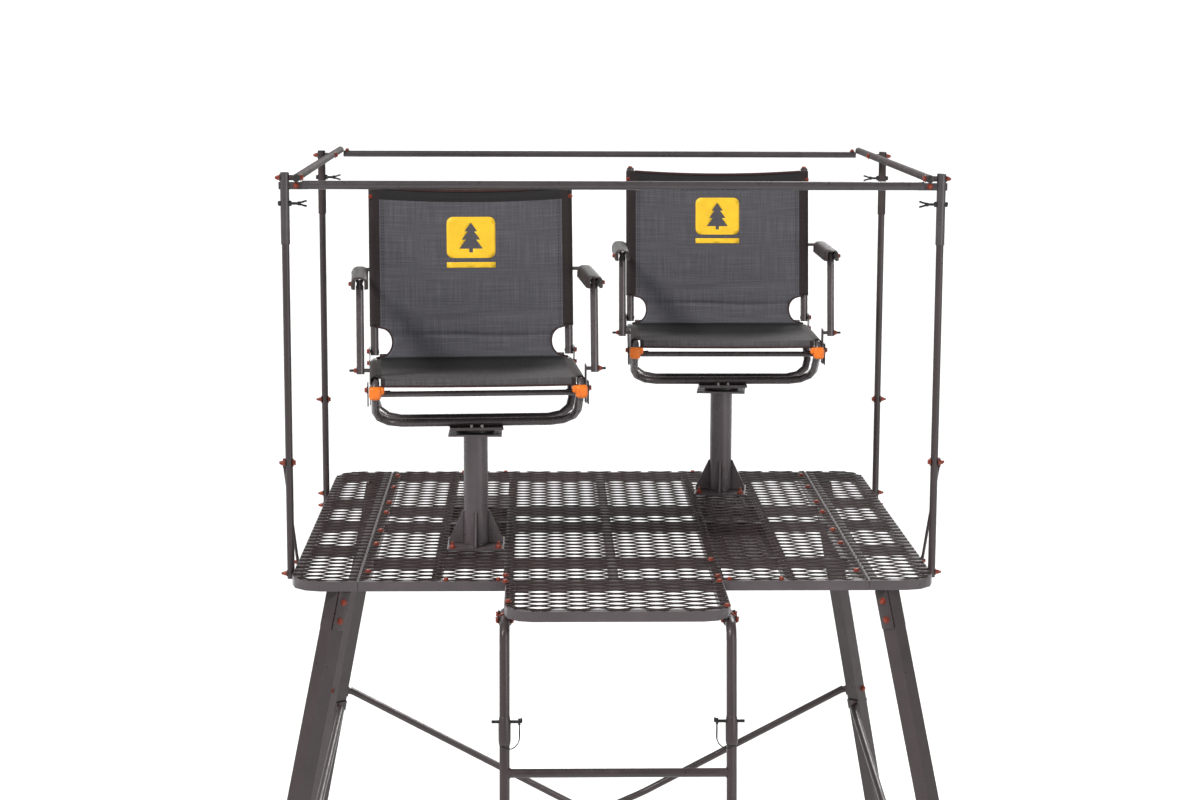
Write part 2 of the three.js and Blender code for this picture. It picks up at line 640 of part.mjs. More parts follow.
for (const end of ['front', 'back']) {
  for (const [word, side] of sides) put(`post_${end}_${word}`, post(side, end), 'frame');
}
for (const [word, side] of sides) put(`post_strut_${word}`, strut(side), 'frame');
put('rail_front', frontRail(), 'frame');
for (const [word, side] of sides) put(`rail_${word}`, sideRail(side), 'frame');
put('rail_back', backRail(), 'frame');
for (const end of ['front', 'back']) {
  for (const [word, side] of sides) put(`rail_lock_${end}_${word}`, lockScrew(side, end), 'black');
}

// ---------------------------------------------------------------- pedestals
function pedestal(yaw) {
  const foot = DECK.thickness + 2 * GAP;
  const base = block([0, 0, foot + PEDESTAL.plate / 2], [PEDESTAL.base, PEDESTAL.base, PEDESTAL.plate]);
  const top = PEDESTAL.top + PEDESTAL.swivelPlate;
  const plate = block([0, 0, PEDESTAL.top + PEDESTAL.swivelPlate / 2],
    [PEDESTAL.swivel, PEDESTAL.swivel, PEDESTAL.swivelPlate]);
  const column = rod([0, 0, foot + 1], [0, 0, PEDESTAL.top + 1], PEDESTAL.post, 28);
  const core = rod([0, 0, foot - 1], [0, 0, top + 1], PEDESTAL.post - PEDESTAL.wall, OUTER_SIDES);
  const fins = [0, 90, 180, 270].map((angle) => {
    const shape = new THREE.Shape();
    shape.moveTo(PEDESTAL.post - 2, foot + PEDESTAL.plate - 1);
    shape.lineTo(GUSSET.reach, foot + PEDESTAL.plate - 1);
    shape.lineTo(GUSSET.reach, foot + PEDESTAL.plate + 10);
    shape.lineTo(PEDESTAL.post + 3, foot + GUSSET.height);
    shape.lineTo(PEDESTAL.post - 2, foot + GUSSET.height);
    shape.closePath();
    const geometry = new THREE.ExtrudeGeometry(shape, { depth: GUSSET.thickness, bevelEnabled: false });
    geometry.translate(0, 0, -GUSSET.thickness / 2);
    geometry.rotateX(Math.PI / 2);
    geometry.rotateZ(THREE.MathUtils.degToRad(angle));
    return solidOf(geometry);
  });
  return cut(join(base, plate, column, ...fins), core).rotate([0, 0, yaw]);
}

// ---------------------------------------------------------------- chairs, each about its own swivel axis
const C = CHAIR;
const reclineSine = Math.sin(THREE.MathUtils.degToRad(PIVOT.recline));
const reclineCosine = Math.cos(THREE.MathUtils.degToRad(PIVOT.recline));
const armShift = (PIVOT.armZ - PIVOT.z) * (reclineSine / reclineCosine);
// A point of the back, by its height; `off` is its distance in front of the tubes' centre plane.
const backPoint = (x, z, off = 0) => [x, PIVOT.backY + (z - PIVOT.z) * (reclineSine / reclineCosine) - off * reclineCosine,
  z + off * reclineSine];

function chassis() {
  const x = C.halfX;
  const line = CHAIR_LINE;
  const runs = [];
  const uFront = [[-x, KNUCKLE.y, KNUCKLE.z], [-x, -line.baseY, line.baseZ], [x, -line.baseY, line.baseZ],
    [x, KNUCKLE.y, KNUCKLE.z]];
  const rearTop = [line.rear - 25, line.sideZ];
  const uRear = [[-x, ...rearTop], [-x, line.baseY, line.baseZ], [x, line.baseY, line.baseZ], [x, ...rearTop]];
  runs.push(roundRun(uFront, line.bend, C.tube, C.wall), roundRun(uRear, line.bend, C.tube, C.wall));
  const extras = [
    rod([0, 0, PEDESTAL.top + PEDESTAL.swivelPlate + GAP], [0, 0, C.plateBottom + 1], C.bearing, 24),
    block([0, 0, (C.plateBottom + C.plateTop + 1) / 2], [PEDESTAL.swivel, PEDESTAL.swivel,
      C.plateTop + 1 - C.plateBottom]),
    rod([-x, KNUCKLE.y + 4, FRONT_BAR.z], [x, KNUCKLE.y + 4, FRONT_BAR.z], FRONT_BAR.radius, 12),
  ];
  for (const side of [-1, 1]) {
    const sx = side * x;
    runs.push(roundRun([[sx, line.rear, line.sideZ], [sx, line.front, line.sideZ], [sx, KNUCKLE.y - 14, KNUCKLE.z]],
      18, C.tube, C.wall));
    for (const [y, low, high] of [[PIVOT.linkY, PLATE.low, PLATE.high], [PIVOT.backY, PLATE.rearLow, PLATE.high]]) {
      extras.push(block([side * PLATE.x, y, (low + high) / 2], [PLATE.thickness, PLATE.width, high - low]));
      extras.push(rod([sx, y, line.sideZ], [side * (PLATE.x + 1), y, line.sideZ], PIVOT.pin, 8));
    }
    extras.push(rod([side * (PLATE.x - 1), PIVOT.linkY, PIVOT.z], [side * (ARM.x + ARM.linkRadius + 1), PIVOT.linkY,
      PIVOT.z], PIVOT.pin, 8));
    extras.push(rod([side * (PLATE.x + 1), PIVOT.backY, PIVOT.z], [side * (C.halfX - C.tube - 1), PIVOT.backY,
      PIVOT.z], PIVOT.pin, 8));
  }
  return weldment(runs, extras);
}

function backFrame() {
  const x = C.halfX;
  const runs = [-1, 1].map((side) => ({
    outside: rod(backPoint(side * x, PIVOT.z - 11), backPoint(side * x, BACK_TOP), C.tube),
    bore: rod(backPoint(side * x, PIVOT.z - 14), backPoint(side * x, BACK_TOP + 3), C.tube - C.wall, BORE_SIDES),
  }));
  const bars = BACK_BARS.map((z) => rod(backPoint(-x, z, -6), backPoint(x, z, -6), 7, 8));
  const pins = [-1, 1].map((side) => rod(backPoint(side * (x + 6), PIVOT.armZ), backPoint(side * (ARM.x + 2), PIVOT.armZ),
    PIVOT.pin, 8));
  const holes = [-1, 1].map((side) => rod([side * (x - 14), PIVOT.backY, PIVOT.z], [side * (x + 14), PIVOT.backY,
    PIVOT.z], PIVOT.pin + 0.5, 12));
  return cut(weldment(runs, [...bars, ...pins]), ...holes);
}

function seatSling() {
  const z = CHAIR_LINE.sideZ + C.tube + GAP + SLING.thickness / 2;
  const [front, rear] = [SLING.front, SLING.rear];
  return block([0, (front + rear) / 2, z], [2 * SLING.halfX, rear - front, SLING.thickness]);
}

function backSling() {
  const length = (SLING.backTop - SLING.backBottom) / reclineCosine;
  const geometry = new THREE.BoxGeometry(2 * SLING.halfX, SLING.thickness, length);
  geometry.rotateX(-THREE.MathUtils.degToRad(PIVOT.recline));
  geometry.translate(...backPoint(0, (SLING.backTop + SLING.backBottom) / 2, C.tube + GAP + SLING.thickness / 2));
  return solidOf(geometry);
}

function armLink(side) {
  const x = side * ARM.x;
  const top = [x, PIVOT.linkY + armShift, PIVOT.armZ];
  const bottom = [x, PIVOT.linkY, PIVOT.z];
  const beyond = (from, to) => {
    const way = new THREE.Vector3(...to).sub(new THREE.Vector3(...from)).normalize();
    return new THREE.Vector3(...to).addScaledVector(way, ARM.linkRadius).toArray();
  };
  const hole = (centre, radius) => rod([centre[0] - 14, centre[1], centre[2]], [centre[0] + 14, centre[1], centre[2]],
    radius, 12);
  return cut(
    rod(beyond(top, bottom), beyond(bottom, top), ARM.linkRadius),
    hole(bottom, PIVOT.pin + 0.5),
    hole(top, PIVOT.pin + PIVOT.openClearance),
  );
}

// An inverted-U arm pad: the front link folds up into its channel, and a strap runs back to the backrest.
function armPad(side) {
  const x = side * ARM.x;
  const frontY = ARM.front;
  const rearY = ARM.rear;
  const outline = new THREE.Shape();
  const halfWidth = ARM.padWidth / 2;
  const round = 10;
  outline.moveTo(-halfWidth, ARM.padBottom);
  outline.lineTo(halfWidth, ARM.padBottom);
  outline.lineTo(halfWidth, ARM.padTop - round);
  for (let step = 1; step <= 3; step += 1) {
    const angle = (step * Math.PI) / 6;
    outline.lineTo(halfWidth - round + round * Math.cos(angle), ARM.padTop - round + round * Math.sin(angle));
  }
  for (let step = 0; step <= 3; step += 1) {
    const angle = Math.PI / 2 + (step * Math.PI) / 6;
    outline.lineTo(-halfWidth + round + round * Math.cos(angle), ARM.padTop - round + round * Math.sin(angle));
  }
  outline.closePath();
  const geometry = new THREE.ExtrudeGeometry(outline, { depth: rearY - frontY, bevelEnabled: false });
  geometry.rotateX(Math.PI / 2);
  geometry.translate(x, rearY, 0);
  const pivotY = PIVOT.backY + armShift;
  const frontPivotY = PIVOT.linkY + armShift;
  const ceiling = PIVOT.armZ + ARM.linkRadius + ARM.headroom;
  const channel = block([x, (frontY + rearY) / 2, (ARM.padBottom + ceiling) / 2 - 5],
    [ARM.channel, rearY - frontY - 2 * ARM.endWall, ceiling - ARM.padBottom + 10]);
  const notchY = PIVOT.linkY - (PIVOT.backY - Math.sqrt((PIVOT.armZ - PIVOT.z) ** 2 + armShift ** 2)) + pivotY;
  const notch = block([x - side * halfWidth, notchY, ARM.padBottom + 4], [halfWidth, 22, 34]);
  const strap = block([x, (rearY + pivotY) / 2, PIVOT.armZ], [STRAP.thickness, pivotY - rearY + 20 + STRAP.height / 2,
    STRAP.height]);
  const eye = rod([x - 6, pivotY, PIVOT.armZ], [x + 6, pivotY, PIVOT.armZ], PIVOT.pin + 0.5, 16);
  const pin = rod([x - halfWidth + 2, frontPivotY, PIVOT.armZ], [x + halfWidth - 2, frontPivotY, PIVOT.armZ],
    PIVOT.pin, 12);
  return join(cut(solidOf(geometry), channel, notch), cut(strap, eye), pin);
}

function chair(seat) {
  const group = new THREE.Group();
  group.position.set(seat.x, seat.y, 0);
  group.rotation.z = THREE.MathUtils.degToRad(seat.yaw);
  const add = (name, solid, finish) => group.add(named(`${name}_${seat.side}`, solid, finish));
  add('chair_chassis', chassis(), 'frame');
  add('chair_back_frame', backFrame(), 'frame');
  add('seat_sling', seatSling(), 'fabric');
  add('back_sling', backSling(), 'fabric');
  for (const [word, side] of sides) {
    add(`arm_link_${word}_of`, armLink(side), 'frame');
    add(`arm_pad_${word}_of`, armPad(side), 'foam');
  }
  return group;
}

for (const seat of SEATS) {
  const stand = named(`pedestal_${seat.side}`, pedestal(seat.baseYaw), 'frame');
  stand.position.set(seat.x, seat.y, 0);
  parts.add(stand, chair(seat));
}

// ---------------------------------------------------------------- placing
// The origin is the middle of the footprint, on the ground.
const padFront = railPoint(1, GROUND)[1] - LADDER_PAD.size / 2;
const footBack = legPoint(1, 1, GROUND)[1] + FOOT.size / 2;
parts.position.set(0, -(padFront + footBack) / 2, DECK_HEIGHT);

const platformStand = new THREE.Group();
platformStand.add(parts);
export default platformStand;
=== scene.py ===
import json
import math

import bmesh
import bpy
import numpy as np
from mathutils import Matrix, Vector, noise
from mathutils.geometry import tessellate_polygon


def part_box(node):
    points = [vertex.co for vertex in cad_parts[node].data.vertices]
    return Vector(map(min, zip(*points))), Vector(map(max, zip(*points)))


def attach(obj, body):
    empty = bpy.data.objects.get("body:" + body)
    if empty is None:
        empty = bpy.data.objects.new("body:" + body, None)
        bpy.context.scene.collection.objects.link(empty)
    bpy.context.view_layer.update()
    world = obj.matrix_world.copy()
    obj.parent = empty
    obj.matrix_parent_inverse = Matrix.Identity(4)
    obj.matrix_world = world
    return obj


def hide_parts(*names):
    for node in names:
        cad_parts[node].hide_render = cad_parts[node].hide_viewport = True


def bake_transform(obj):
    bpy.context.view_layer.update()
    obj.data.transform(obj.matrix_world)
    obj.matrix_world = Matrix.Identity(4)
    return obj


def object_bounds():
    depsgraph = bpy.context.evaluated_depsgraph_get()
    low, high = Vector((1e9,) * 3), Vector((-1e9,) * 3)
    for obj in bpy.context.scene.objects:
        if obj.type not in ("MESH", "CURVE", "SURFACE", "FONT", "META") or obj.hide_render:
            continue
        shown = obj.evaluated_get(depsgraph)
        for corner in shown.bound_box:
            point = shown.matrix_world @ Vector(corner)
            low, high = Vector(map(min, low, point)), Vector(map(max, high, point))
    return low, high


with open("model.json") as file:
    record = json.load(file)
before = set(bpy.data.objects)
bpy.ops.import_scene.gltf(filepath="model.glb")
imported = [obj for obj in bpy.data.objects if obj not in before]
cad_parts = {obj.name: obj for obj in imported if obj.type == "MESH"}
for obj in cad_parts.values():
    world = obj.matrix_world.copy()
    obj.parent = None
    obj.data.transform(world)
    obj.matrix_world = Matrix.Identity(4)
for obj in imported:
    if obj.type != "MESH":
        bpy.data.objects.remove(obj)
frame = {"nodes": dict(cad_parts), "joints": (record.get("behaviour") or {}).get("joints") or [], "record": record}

CAD_LOW, CAD_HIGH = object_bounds()
MM = 0.001

# ---------------------------------------------------------------- where things are
# The platform's own axes: its middle in plan, and the top of its tubes as height 0.
frame_low, frame_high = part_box("centre_frame")
DECK = Vector(((frame_low.x + frame_high.x) / 2, (frame_low.y + frame_high.y) / 2, frame_high.z))
JOINTS = {joint["name"]: joint for joint in frame["joints"]}
SIDES = (("left", -1), ("right", 1))
ENDS = (("front", -1), ("back", 1))
X, Y, Z = Vector((1, 0, 0)), Vector((0, 1, 0)), Vector((0, 0, 1))


def on_platform(x, y, z):
    """A point given in millimetres from the platform's middle."""
    return DECK + Vector((x, y, z)) * MM


def middle_of(node):
    """The middle of a CAD node's box."""
    low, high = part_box(node)
    return (low + high) / 2


def span_end(low, high, way, inset=0.0):
    """The end of a span on its low (-1) or high (1) side, moved inward."""
    return high - inset if way > 0 else low + inset


def circle(centre, radius, across, up, count):
    """Points round a circle in the plane of two unit vectors."""
    turns = [2 * math.pi * i / count for i in range(count)]
    return [centre + (across * math.cos(turn) + up * math.sin(turn)) * radius for turn in turns]


def placed(name, data):
    """A new object in the scene."""
    made = bpy.data.objects.new(name, data)
    bpy.context.scene.collection.objects.link(made)
    return made


# ---------------------------------------------------------------- mesh building
class Build:
    """Collects closed shapes into one mesh."""

    def __init__(self):
        self.verts = []
        self.faces = []

    def add(self, verts, faces):
        start = len(self.verts)
        self.verts += [tuple(v) for v in verts]
        self.faces += [tuple(start + i for i in face) for face in faces]

    def object(self, name, smooth=40):
        mesh = bpy.data.meshes.new(name)
        mesh.from_pydata(self.verts, [], self.faces)
        mesh.validate()
        if smooth:
            mesh.shade_smooth()
            mesh.set_sharp_from_angle(angle=math.radians(smooth))
        return placed(name, mesh)


def stacked(rings, sides, closed=False):
    """Faces between stacked rings of vertices, with flat ends unless the stack closes on itself."""
    faces = []
    around = [(k, (k + 1) % sides) for k in range(sides)]
    for i in range(rings if closed else rings - 1):
        here, ahead = i * sides, (i + 1) % rings * sides
        faces += [(here + k, here + n, ahead + n, ahead + k) for k, n in around]
    if not closed:
        faces += [tuple(reversed(range(sides))), tuple(range((rings - 1) * sides, rings * sides))]
    return faces


def turned(build, profile, centre, axis, sides=20):
    """A shape of revolution along an axis. The profile is (radius, height) pairs in millimetres."""
    axis = Vector(axis).normalized()
    side = axis.orthogonal().normalized()
    verts = []
    for radius, height in profile:
        verts += circle(Vector(centre) + axis * height * MM, radius * MM, side, axis.cross(side), sides)
    build.add(verts, stacked(len(profile), sides))


def swept(build, points, radius, sides=10, closed=False, flat=1.0):
    """A round (or flattened) bar along a list of points."""
    points = [Vector(p) for p in points]
    count = len(points)
    verts, normal = [], None
    for i, point in enumerate(points):
        ahead = points[(i + 1) % count] if closed or i < count - 1 else point
        behind = points[i - 1] if closed or i > 0 else point
        tangent = (ahead - behind).normalized()
        if normal is None:
            normal = tangent.orthogonal().normalized()
        normal = (normal - tangent * normal.dot(tangent)).normalized()
        verts += circle(point, radius, normal, tangent.cross(normal) * flat, sides)
    build.add(verts, stacked(count, sides, closed))


def rounded_block(build, centre, size, axes=None, bevel=0.15, steps=3):
    """A block with rounded edges; bevel is a share of its smallest side."""
    bm = bmesh.new()
    bmesh.ops.create_cube(bm, size=1.0)
    bmesh.ops.scale(bm, vec=Vector(size), verts=bm.verts)
    bmesh.ops.bevel(bm, geom=bm.edges[:], offset=min(size) * bevel, segments=steps, profile=0.5,
                    affect="EDGES")
    place = axes or Matrix.Identity(3)
    verts = [Vector(centre) + place @ v.co for v in bm.verts]
    build.add(verts, [[v.index for v in f.verts] for f in bm.faces])
    bm.free()


def hex_bolt(build, centre, axis, across=13.0, washer=9.5):
    """A washer and a chamfered hexagon head standing on `centre` along `axis`, in millimetres."""
    disc = [(washer * 0.5, 0), (washer, 0), (washer, 1.1), (washer - 0.5, 1.6), (2, 1.6)]
    turned(build, disc, centre, axis, 24)
    head = across / math.sqrt(3)
    hexagon = [(head * 0.4, 1.4), (head, 1.4), (head, 5.6), (head * 0.86, 6.8), (1, 7.1)]
    turned(build, hexagon, centre, axis, 6)


def lock_nut(build, centre, axis, across=13.0, washer=9.5, tail=5.0):
    """The nut side of a bolt: washer, hexagon, collar and the tip of the thread."""
    axis = Vector(axis).normalized()
    hex_bolt(build, centre, axis, across, washer)
    collar = [(2, 0), (5.2, 0), (4.6, 2.6), (3.6, 3)]
    thread = [(3.4, 3 + tail), (2.8, 3.6 + tail)]
    turned(build, collar + thread, Vector(centre) + axis * 0.0068, axis, 16)


def dress(piece, finish, *replaced):
    """Gives a piece the material of its finish, and hides the CAD nodes it stands for."""
    slot, material = finish
    piece.data.materials.clear()
    piece.data.materials.append(material)
    if replaced:
        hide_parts(*replaced)


def give(piece, body, finish, *replaced):
    """Dresses a piece and lets it ride on a body."""
    dress(piece, finish, *replaced)
    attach(piece, body)


# ---------------------------------------------------------------- materials
class Nodes:
    """Short names for building a node material."""

    def __init__(self, name):
        self.material = bpy.data.materials.new(name)
        self.material.use_nodes = True
        self.tree = self.material.node_tree
        self.tree.nodes.clear()
        self.out = self.tree.nodes.new("ShaderNodeOutputMaterial")
        self.shader = self.tree.nodes.new("ShaderNodeBsdfPrincipled")
        self.tree.links.new(self.shader.outputs[0], self.out.inputs[0])

    def node(self, kind, **values):
        made = self.tree.nodes.new(kind)
        for key, value in values.items():
            if key in made.inputs:
                made.inputs[key].default_value = value
            else:
                setattr(made, key, value)
        return made

    def link(self, source, target):
        """Links a source to a socket, or sets the socket to a number or a colour."""
        if isinstance(source, bpy.types.NodeSocket):
            self.tree.links.new(source, target)
        else:
            target.default_value = (*source, 1.0) if isinstance(source, tuple) else source

    def here(self):
        """Coordinates on the object."""
        return self.node("ShaderNodeTexCoord").outputs["Object"]

    def noise(self, coords, scale, detail=4.0, rough=0.55, stretch=None):
        made = self.node("ShaderNodeTexNoise", Scale=scale, Detail=detail, Roughness=rough)
        if stretch:
            mapping = self.node("ShaderNodeMapping", Scale=stretch)
            self.link(coords, mapping.inputs["Vector"])
            coords = mapping.outputs[0]
        self.link(coords, made.inputs["Vector"])
        return made.outputs["Fac"]

    def ramp(self, source, stops):
        made = self.node("ShaderNodeValToRGB")
        made.color_ramp.elements.remove(made.color_ramp.elements[1])
        for i, (place, value) in enumerate(stops):
            element = made.color_ramp.elements[0] if i == 0 else made.color_ramp.elements.new(place)
            element.position = place
            element.color = (*value, 1.0)
        self.link(source, made.inputs["Fac"])
        return made.outputs["Color"]

    def grey(self, source, stops):
        return self.ramp(source, [(place, (value, value, value)) for place, value in stops])

    def tones(self, source, colour, *stops):
        """A colour made lighter or darker along a source; the stops are (place, factor)."""
        return self.ramp(source, [(place, shade(colour, factor)) for place, factor in stops])

    def math(self, operation, a, b=0.0):
        made = self.node("ShaderNodeMath", operation=operation)
        for socket, value in zip(made.inputs, (a, b)):
            self.link(value, socket)
        return made.outputs[0]

    def mix(self, amount, a, b, blend="MIX"):
        made = self.node("ShaderNodeMix", data_type="RGBA", blend_type=blend)
        for socket, value in ((0, amount), (6, a), (7, b)):
            self.link(value, made.inputs[socket])
        return made.outputs[2]

    def bump(self, height, strength, distance, below=None):
        made = self.node("ShaderNodeBump", Strength=strength, Distance=distance)
        self.link(height, made.inputs["Height"])
        if below is not None:
            self.link(below, made.inputs["Normal"])
        return made.outputs["Normal"]

    def upward(self):
        """How far the face points up: the Z of its normal."""
        split = self.node("ShaderNodeSeparateXYZ")
        self.link(self.node("ShaderNodeNewGeometry").outputs["Normal"], split.inputs[0])
        return split.outputs["Z"]

    def finish(self, colour=None, rough=None, normal=None, **constants):
        for key, value in constants.items():
            self.shader.inputs[key.replace("_", " ")].default_value = value
        for source, key in ((colour, "Base Color"), (rough, "Roughness"), (normal, "Normal")):
            if source is not None:
                self.link(source, self.shader.inputs[key])
        return self.material


def shade(colour, factor):
    """A colour made lighter or darker."""
    return tuple(min(1.0, c * factor) for c in colour)


def powder_coat(name, colour, rough=0.5, metallic=0.15, wear=1.0, dust=0.5, grain=1500.0, shine=0.5):
    """Baked powder paint: orange-peel grain, faint mottling, rubbed spots and a film of dust on top faces."""
    n = Nodes(name)
    at = n.here()
    mottle = n.noise(at, 9.0, 5.0)
    tone = n.tones(mottle, colour, (0.3, 0.82), (0.55, 1.0), (0.75, 1.22))
    rubbed = n.grey(n.noise(at, 62.0, 7.0, 0.7), [(0.66, 0.0), (0.74, 1.0)])
    tone = n.mix(n.math("MULTIPLY", rubbed, 0.35 * wear), tone, shade(colour, 2.3))
    upward = n.grey(n.upward(), [(0.35, 0.0), (0.95, 1.0)])
    patchy = n.grey(n.noise(at, 23.0, 6.0, 0.65), [(0.35, 0.1), (0.7, 1.0)])
    film = n.math("MULTIPLY", n.math("MULTIPLY", upward, patchy), 0.30 * dust)
    tone = n.mix(film, tone, (0.12, 0.10, 0.09))
    peel = n.noise(at, grain, 2.0, 0.5)
    rough_map = n.grey(n.noise(at, 40.0, 4.0), [(0.3, rough - 0.07), (0.7, rough + 0.1)])
    normal = n.bump(peel, 0.22, 0.0004, n.bump(mottle, 0.06, 0.002))
    return n.finish(tone, rough_map, normal, Metallic=metallic, Specular_IOR_Level=shine)


def anodised(name, colour, rough=0.34, metallic=0.55):
    """Plated and dyed fasteners: brushed turning marks, darker where dirt settles."""
    n = Nodes(name)
    at = n.here()
    streak = n.noise(at, 260.0, 3.0, 0.6, stretch=(1.0, 1.0, 5.0))
    tone = n.tones(n.noise(at, 90.0, 5.0), colour, (0.3, 0.55), (0.6, 1.0), (0.8, 1.35))
    rough_map = n.grey(streak, [(0.3, rough - 0.08), (0.7, rough + 0.16)])
    return n.finish(tone, rough_map, n.bump(streak, 0.12, 0.0003), Metallic=metallic)


def moulded(name, colour, rough=0.42, grain=900.0, depth=0.18, soft=0.0):
    """Moulded plastic or skinned foam with a leathery grain and slight scuffs."""
    n = Nodes(name)
    at = n.here()
    tone = n.tones(n.noise(at, 34.0, 5.0), colour, (0.3, 0.78), (0.6, 1.0), (0.85, 1.25))
    cell = n.node("ShaderNodeTexVoronoi", Scale=grain)
    n.link(at, cell.inputs["Vector"])
    rough_map = n.grey(n.noise(at, 75.0, 5.0), [(0.35, rough - 0.06), (0.7, rough + 0.12)])
    normal = n.bump(cell.outputs["Distance"], depth, 0.0004, n.bump(n.noise(at, 20.0), 0.05, 0.002))
    return n.finish(tone, rough_map, normal, Sheen_Weight=soft, Specular_IOR_Level=0.4)


def woven(name, colour, pitch=0.0021, slub=0.5, depth=0.5, rear=1.0, shine=0.25):
    """Coated mesh cloth: warp and weft threads with slubs, by UVs in metres; rear darkens the low-V end as painted
    shade.
    """
    n = Nodes(name)
    uv = n.node("ShaderNodeUVMap", uv_map="cloth").outputs[0]
    split = n.node("ShaderNodeSeparateXYZ")
    n.link(uv, split.inputs[0])
    turns = 2 * math.pi / pitch
    warp = n.math("SINE", n.math("MULTIPLY", split.outputs["X"], turns))
    weft = n.math("SINE", n.math("MULTIPLY", split.outputs["Y"], turns))
    thread = n.math("MAXIMUM", n.math("ABSOLUTE", warp), n.math("ABSOLUTE", weft))
    over = n.math("MULTIPLY", warp, weft)
    height = n.math("ADD", n.math("MULTIPLY", thread, 0.6), n.math("MULTIPLY", over, 0.4))
    long_slub = n.noise(uv, 1.0, 3.0, 0.6, stretch=(420.0, 9.0, 1.0))
    cross_slub = n.noise(uv, 1.0, 3.0, 0.6, stretch=(7.0, 380.0, 1.0))
    slubs = n.math("MULTIPLY", n.math("ADD", long_slub, cross_slub), 0.5)
    tone = n.tones(slubs, colour, (0.36, 1 - 0.45 * slub), (0.5, 1.0), (0.62, 1 + 0.9 * slub))
    # Painted shade: the cloth is darkened in the gaps between its threads.
    thread_gap_shade = n.grey(height, [(0.15, 0.45), (0.55, 1.0)])
    tone = n.mix(1.0, tone, thread_gap_shade, "MULTIPLY")
    # Painted shade: the cloth grows darker towards low V, which on the seat is its rear under the backrest.
    if rear < 1.0:
        tone = n.mix(1.0, tone, n.grey(split.outputs["Y"], [(0.13, rear), (0.27, 1.0)]), "MULTIPLY")
    normal = n.bump(height, depth, 0.0005, n.bump(slubs, 0.2, 0.0006))
    return n.finish(tone, 0.78, normal, Sheen_Weight=0.05, Sheen_Roughness=0.5, Specular_IOR_Level=shine)


def printed(name, colour):
    """A screen-printed emblem: ink that lies over the weave and has worn a little."""
    n = Nodes(name)
    at = n.here()
    worn = n.grey(n.noise(at, 520.0, 5.0, 0.6), [(0.32, 0.82), (0.5, 1.0)])
    tone = n.mix(1.0, n.tones(n.noise(at, 30.0), colour, (0.3, 0.9), (0.7, 1.08)), worn, "MULTIPLY")
    return n.finish(tone, 0.62, n.bump(n.noise(at, 900.0), 0.25, 0.0004))


FRAME_PAINT = powder_coat("frame_paint", (0.034, 0.0235, 0.0238), 0.34, 0.2)
PLATFORM_PAINT = powder_coat("platform_paint", (0.062, 0.050, 0.054), 0.34, 0.2)
# The pedestals' paint is lighter than the other frames' paint as painted light.
PEDESTAL_PAINT_LIT = powder_coat("pedestal_paint_lit", (0.086, 0.070, 0.074), 0.32, 0.2, dust=0.2)
RAIL_PAINT = powder_coat("rail_paint", (0.047, 0.039, 0.041), 0.32, 0.25, dust=0.2)
SIDE_RAIL_PAINT = powder_coat("side_rail_paint", (0.047, 0.037, 0.036), 0.62, 0.1, dust=0.15, shine=0.12)
CHAIR_PAINT = powder_coat("chair_paint", (0.062, 0.050, 0.052), 0.27, 0.25, dust=0.1, grain=1900.0)
DECK_PAINT = powder_coat("deck_paint", (0.0200, 0.0108, 0.0095), 0.66, 0.0, wear=1.6, dust=0.15, shine=0.12)
BLACK_METAL = powder_coat("black_metal", (0.009, 0.008, 0.008), 0.34, 0.3, wear=0.6, dust=0.1)
FASTENER = anodised("fastener_red", (0.20, 0.028, 0.011), 0.38, 0.3)
ZINC = anodised("zinc_pale", (0.40, 0.38, 0.35), 0.3, 0.9)
ORANGE = moulded("orange_plastic", (0.68, 0.145, 0.006), 0.36, 700.0, 0.08)
BLACK_PLASTIC = moulded("black_plastic", (0.010, 0.009, 0.009), 0.42)
FOAM = moulded("arm_foam_skin", (0.020, 0.0125, 0.0105), 0.46, 620.0, 0.5, soft=0.04)
CLOTH = woven("mesh_cloth", (0.072, 0.069, 0.078))
# The seat's cloth: the back's cloth a little darker, with painted shade over its rear where the backrest shades
# it.
SEAT_CLOTH_SHADED_REAR = woven("seat_mesh_cloth_shaded_rear", (0.068, 0.063, 0.066), rear=0.12, shine=0.08)
# Sleeve cloth over the tubes: dark brown like the tubes' paint, with the shade beside the tubes painted in.
SLEEVE_CLOTH_SHADED = woven("sleeve_cloth_painted_shade", (0.017, 0.0105, 0.010), pitch=0.0012, slub=0.3, depth=0.3)
# The folded hem band's cloth, made much darker than the rest of the cloth as painted shade.
HEM_CLOTH_SHADED = woven("hem_cloth_painted_shade", (0.013, 0.012, 0.013), slub=0.4)
BINDING = woven("binding_tape", (0.030, 0.0085, 0.0075), pitch=0.0012, slub=0.25, depth=0.35)
PRINT = printed("emblem_print", (0.70, 0.42, 0.004))

SLOT_PAINT = {
    "powder_coat": FRAME_PAINT,
    "rail_frame": RAIL_PAINT,
    "chair_frame": CHAIR_PAINT,
    "deck_metal": DECK_PAINT,
    "black_hardware": BLACK_METAL,
    "mesh_fabric": CLOTH,
    "arm_foam": FOAM,
}

# A piece's finish: its slot and its material.
BOLTS = ("fastener_orange", FASTENER)
WELDS = ("powder_coat", FRAME_PAINT)
BLACK_PARTS = ("black_hardware", BLACK_METAL)
CAPS = ("black_hardware", BLACK_PLASTIC)
BACK_FABRIC = ("mesh_fabric", CLOTH)
SEAT_FABRIC_SHADED_REAR = ("mesh_fabric", SEAT_CLOTH_SHADED_REAR)
EDGING = ("fabric_binding", BINDING)
BADGE = ("badge_yellow", PRINT)
ARM_FOAM = ("arm_foam", FOAM)
ACCENT = ("accent_orange", ORANGE)
PALE_NUTS = ("chair_frame", ZINC)
DECKING = ("deck_metal", DECK_PAINT)


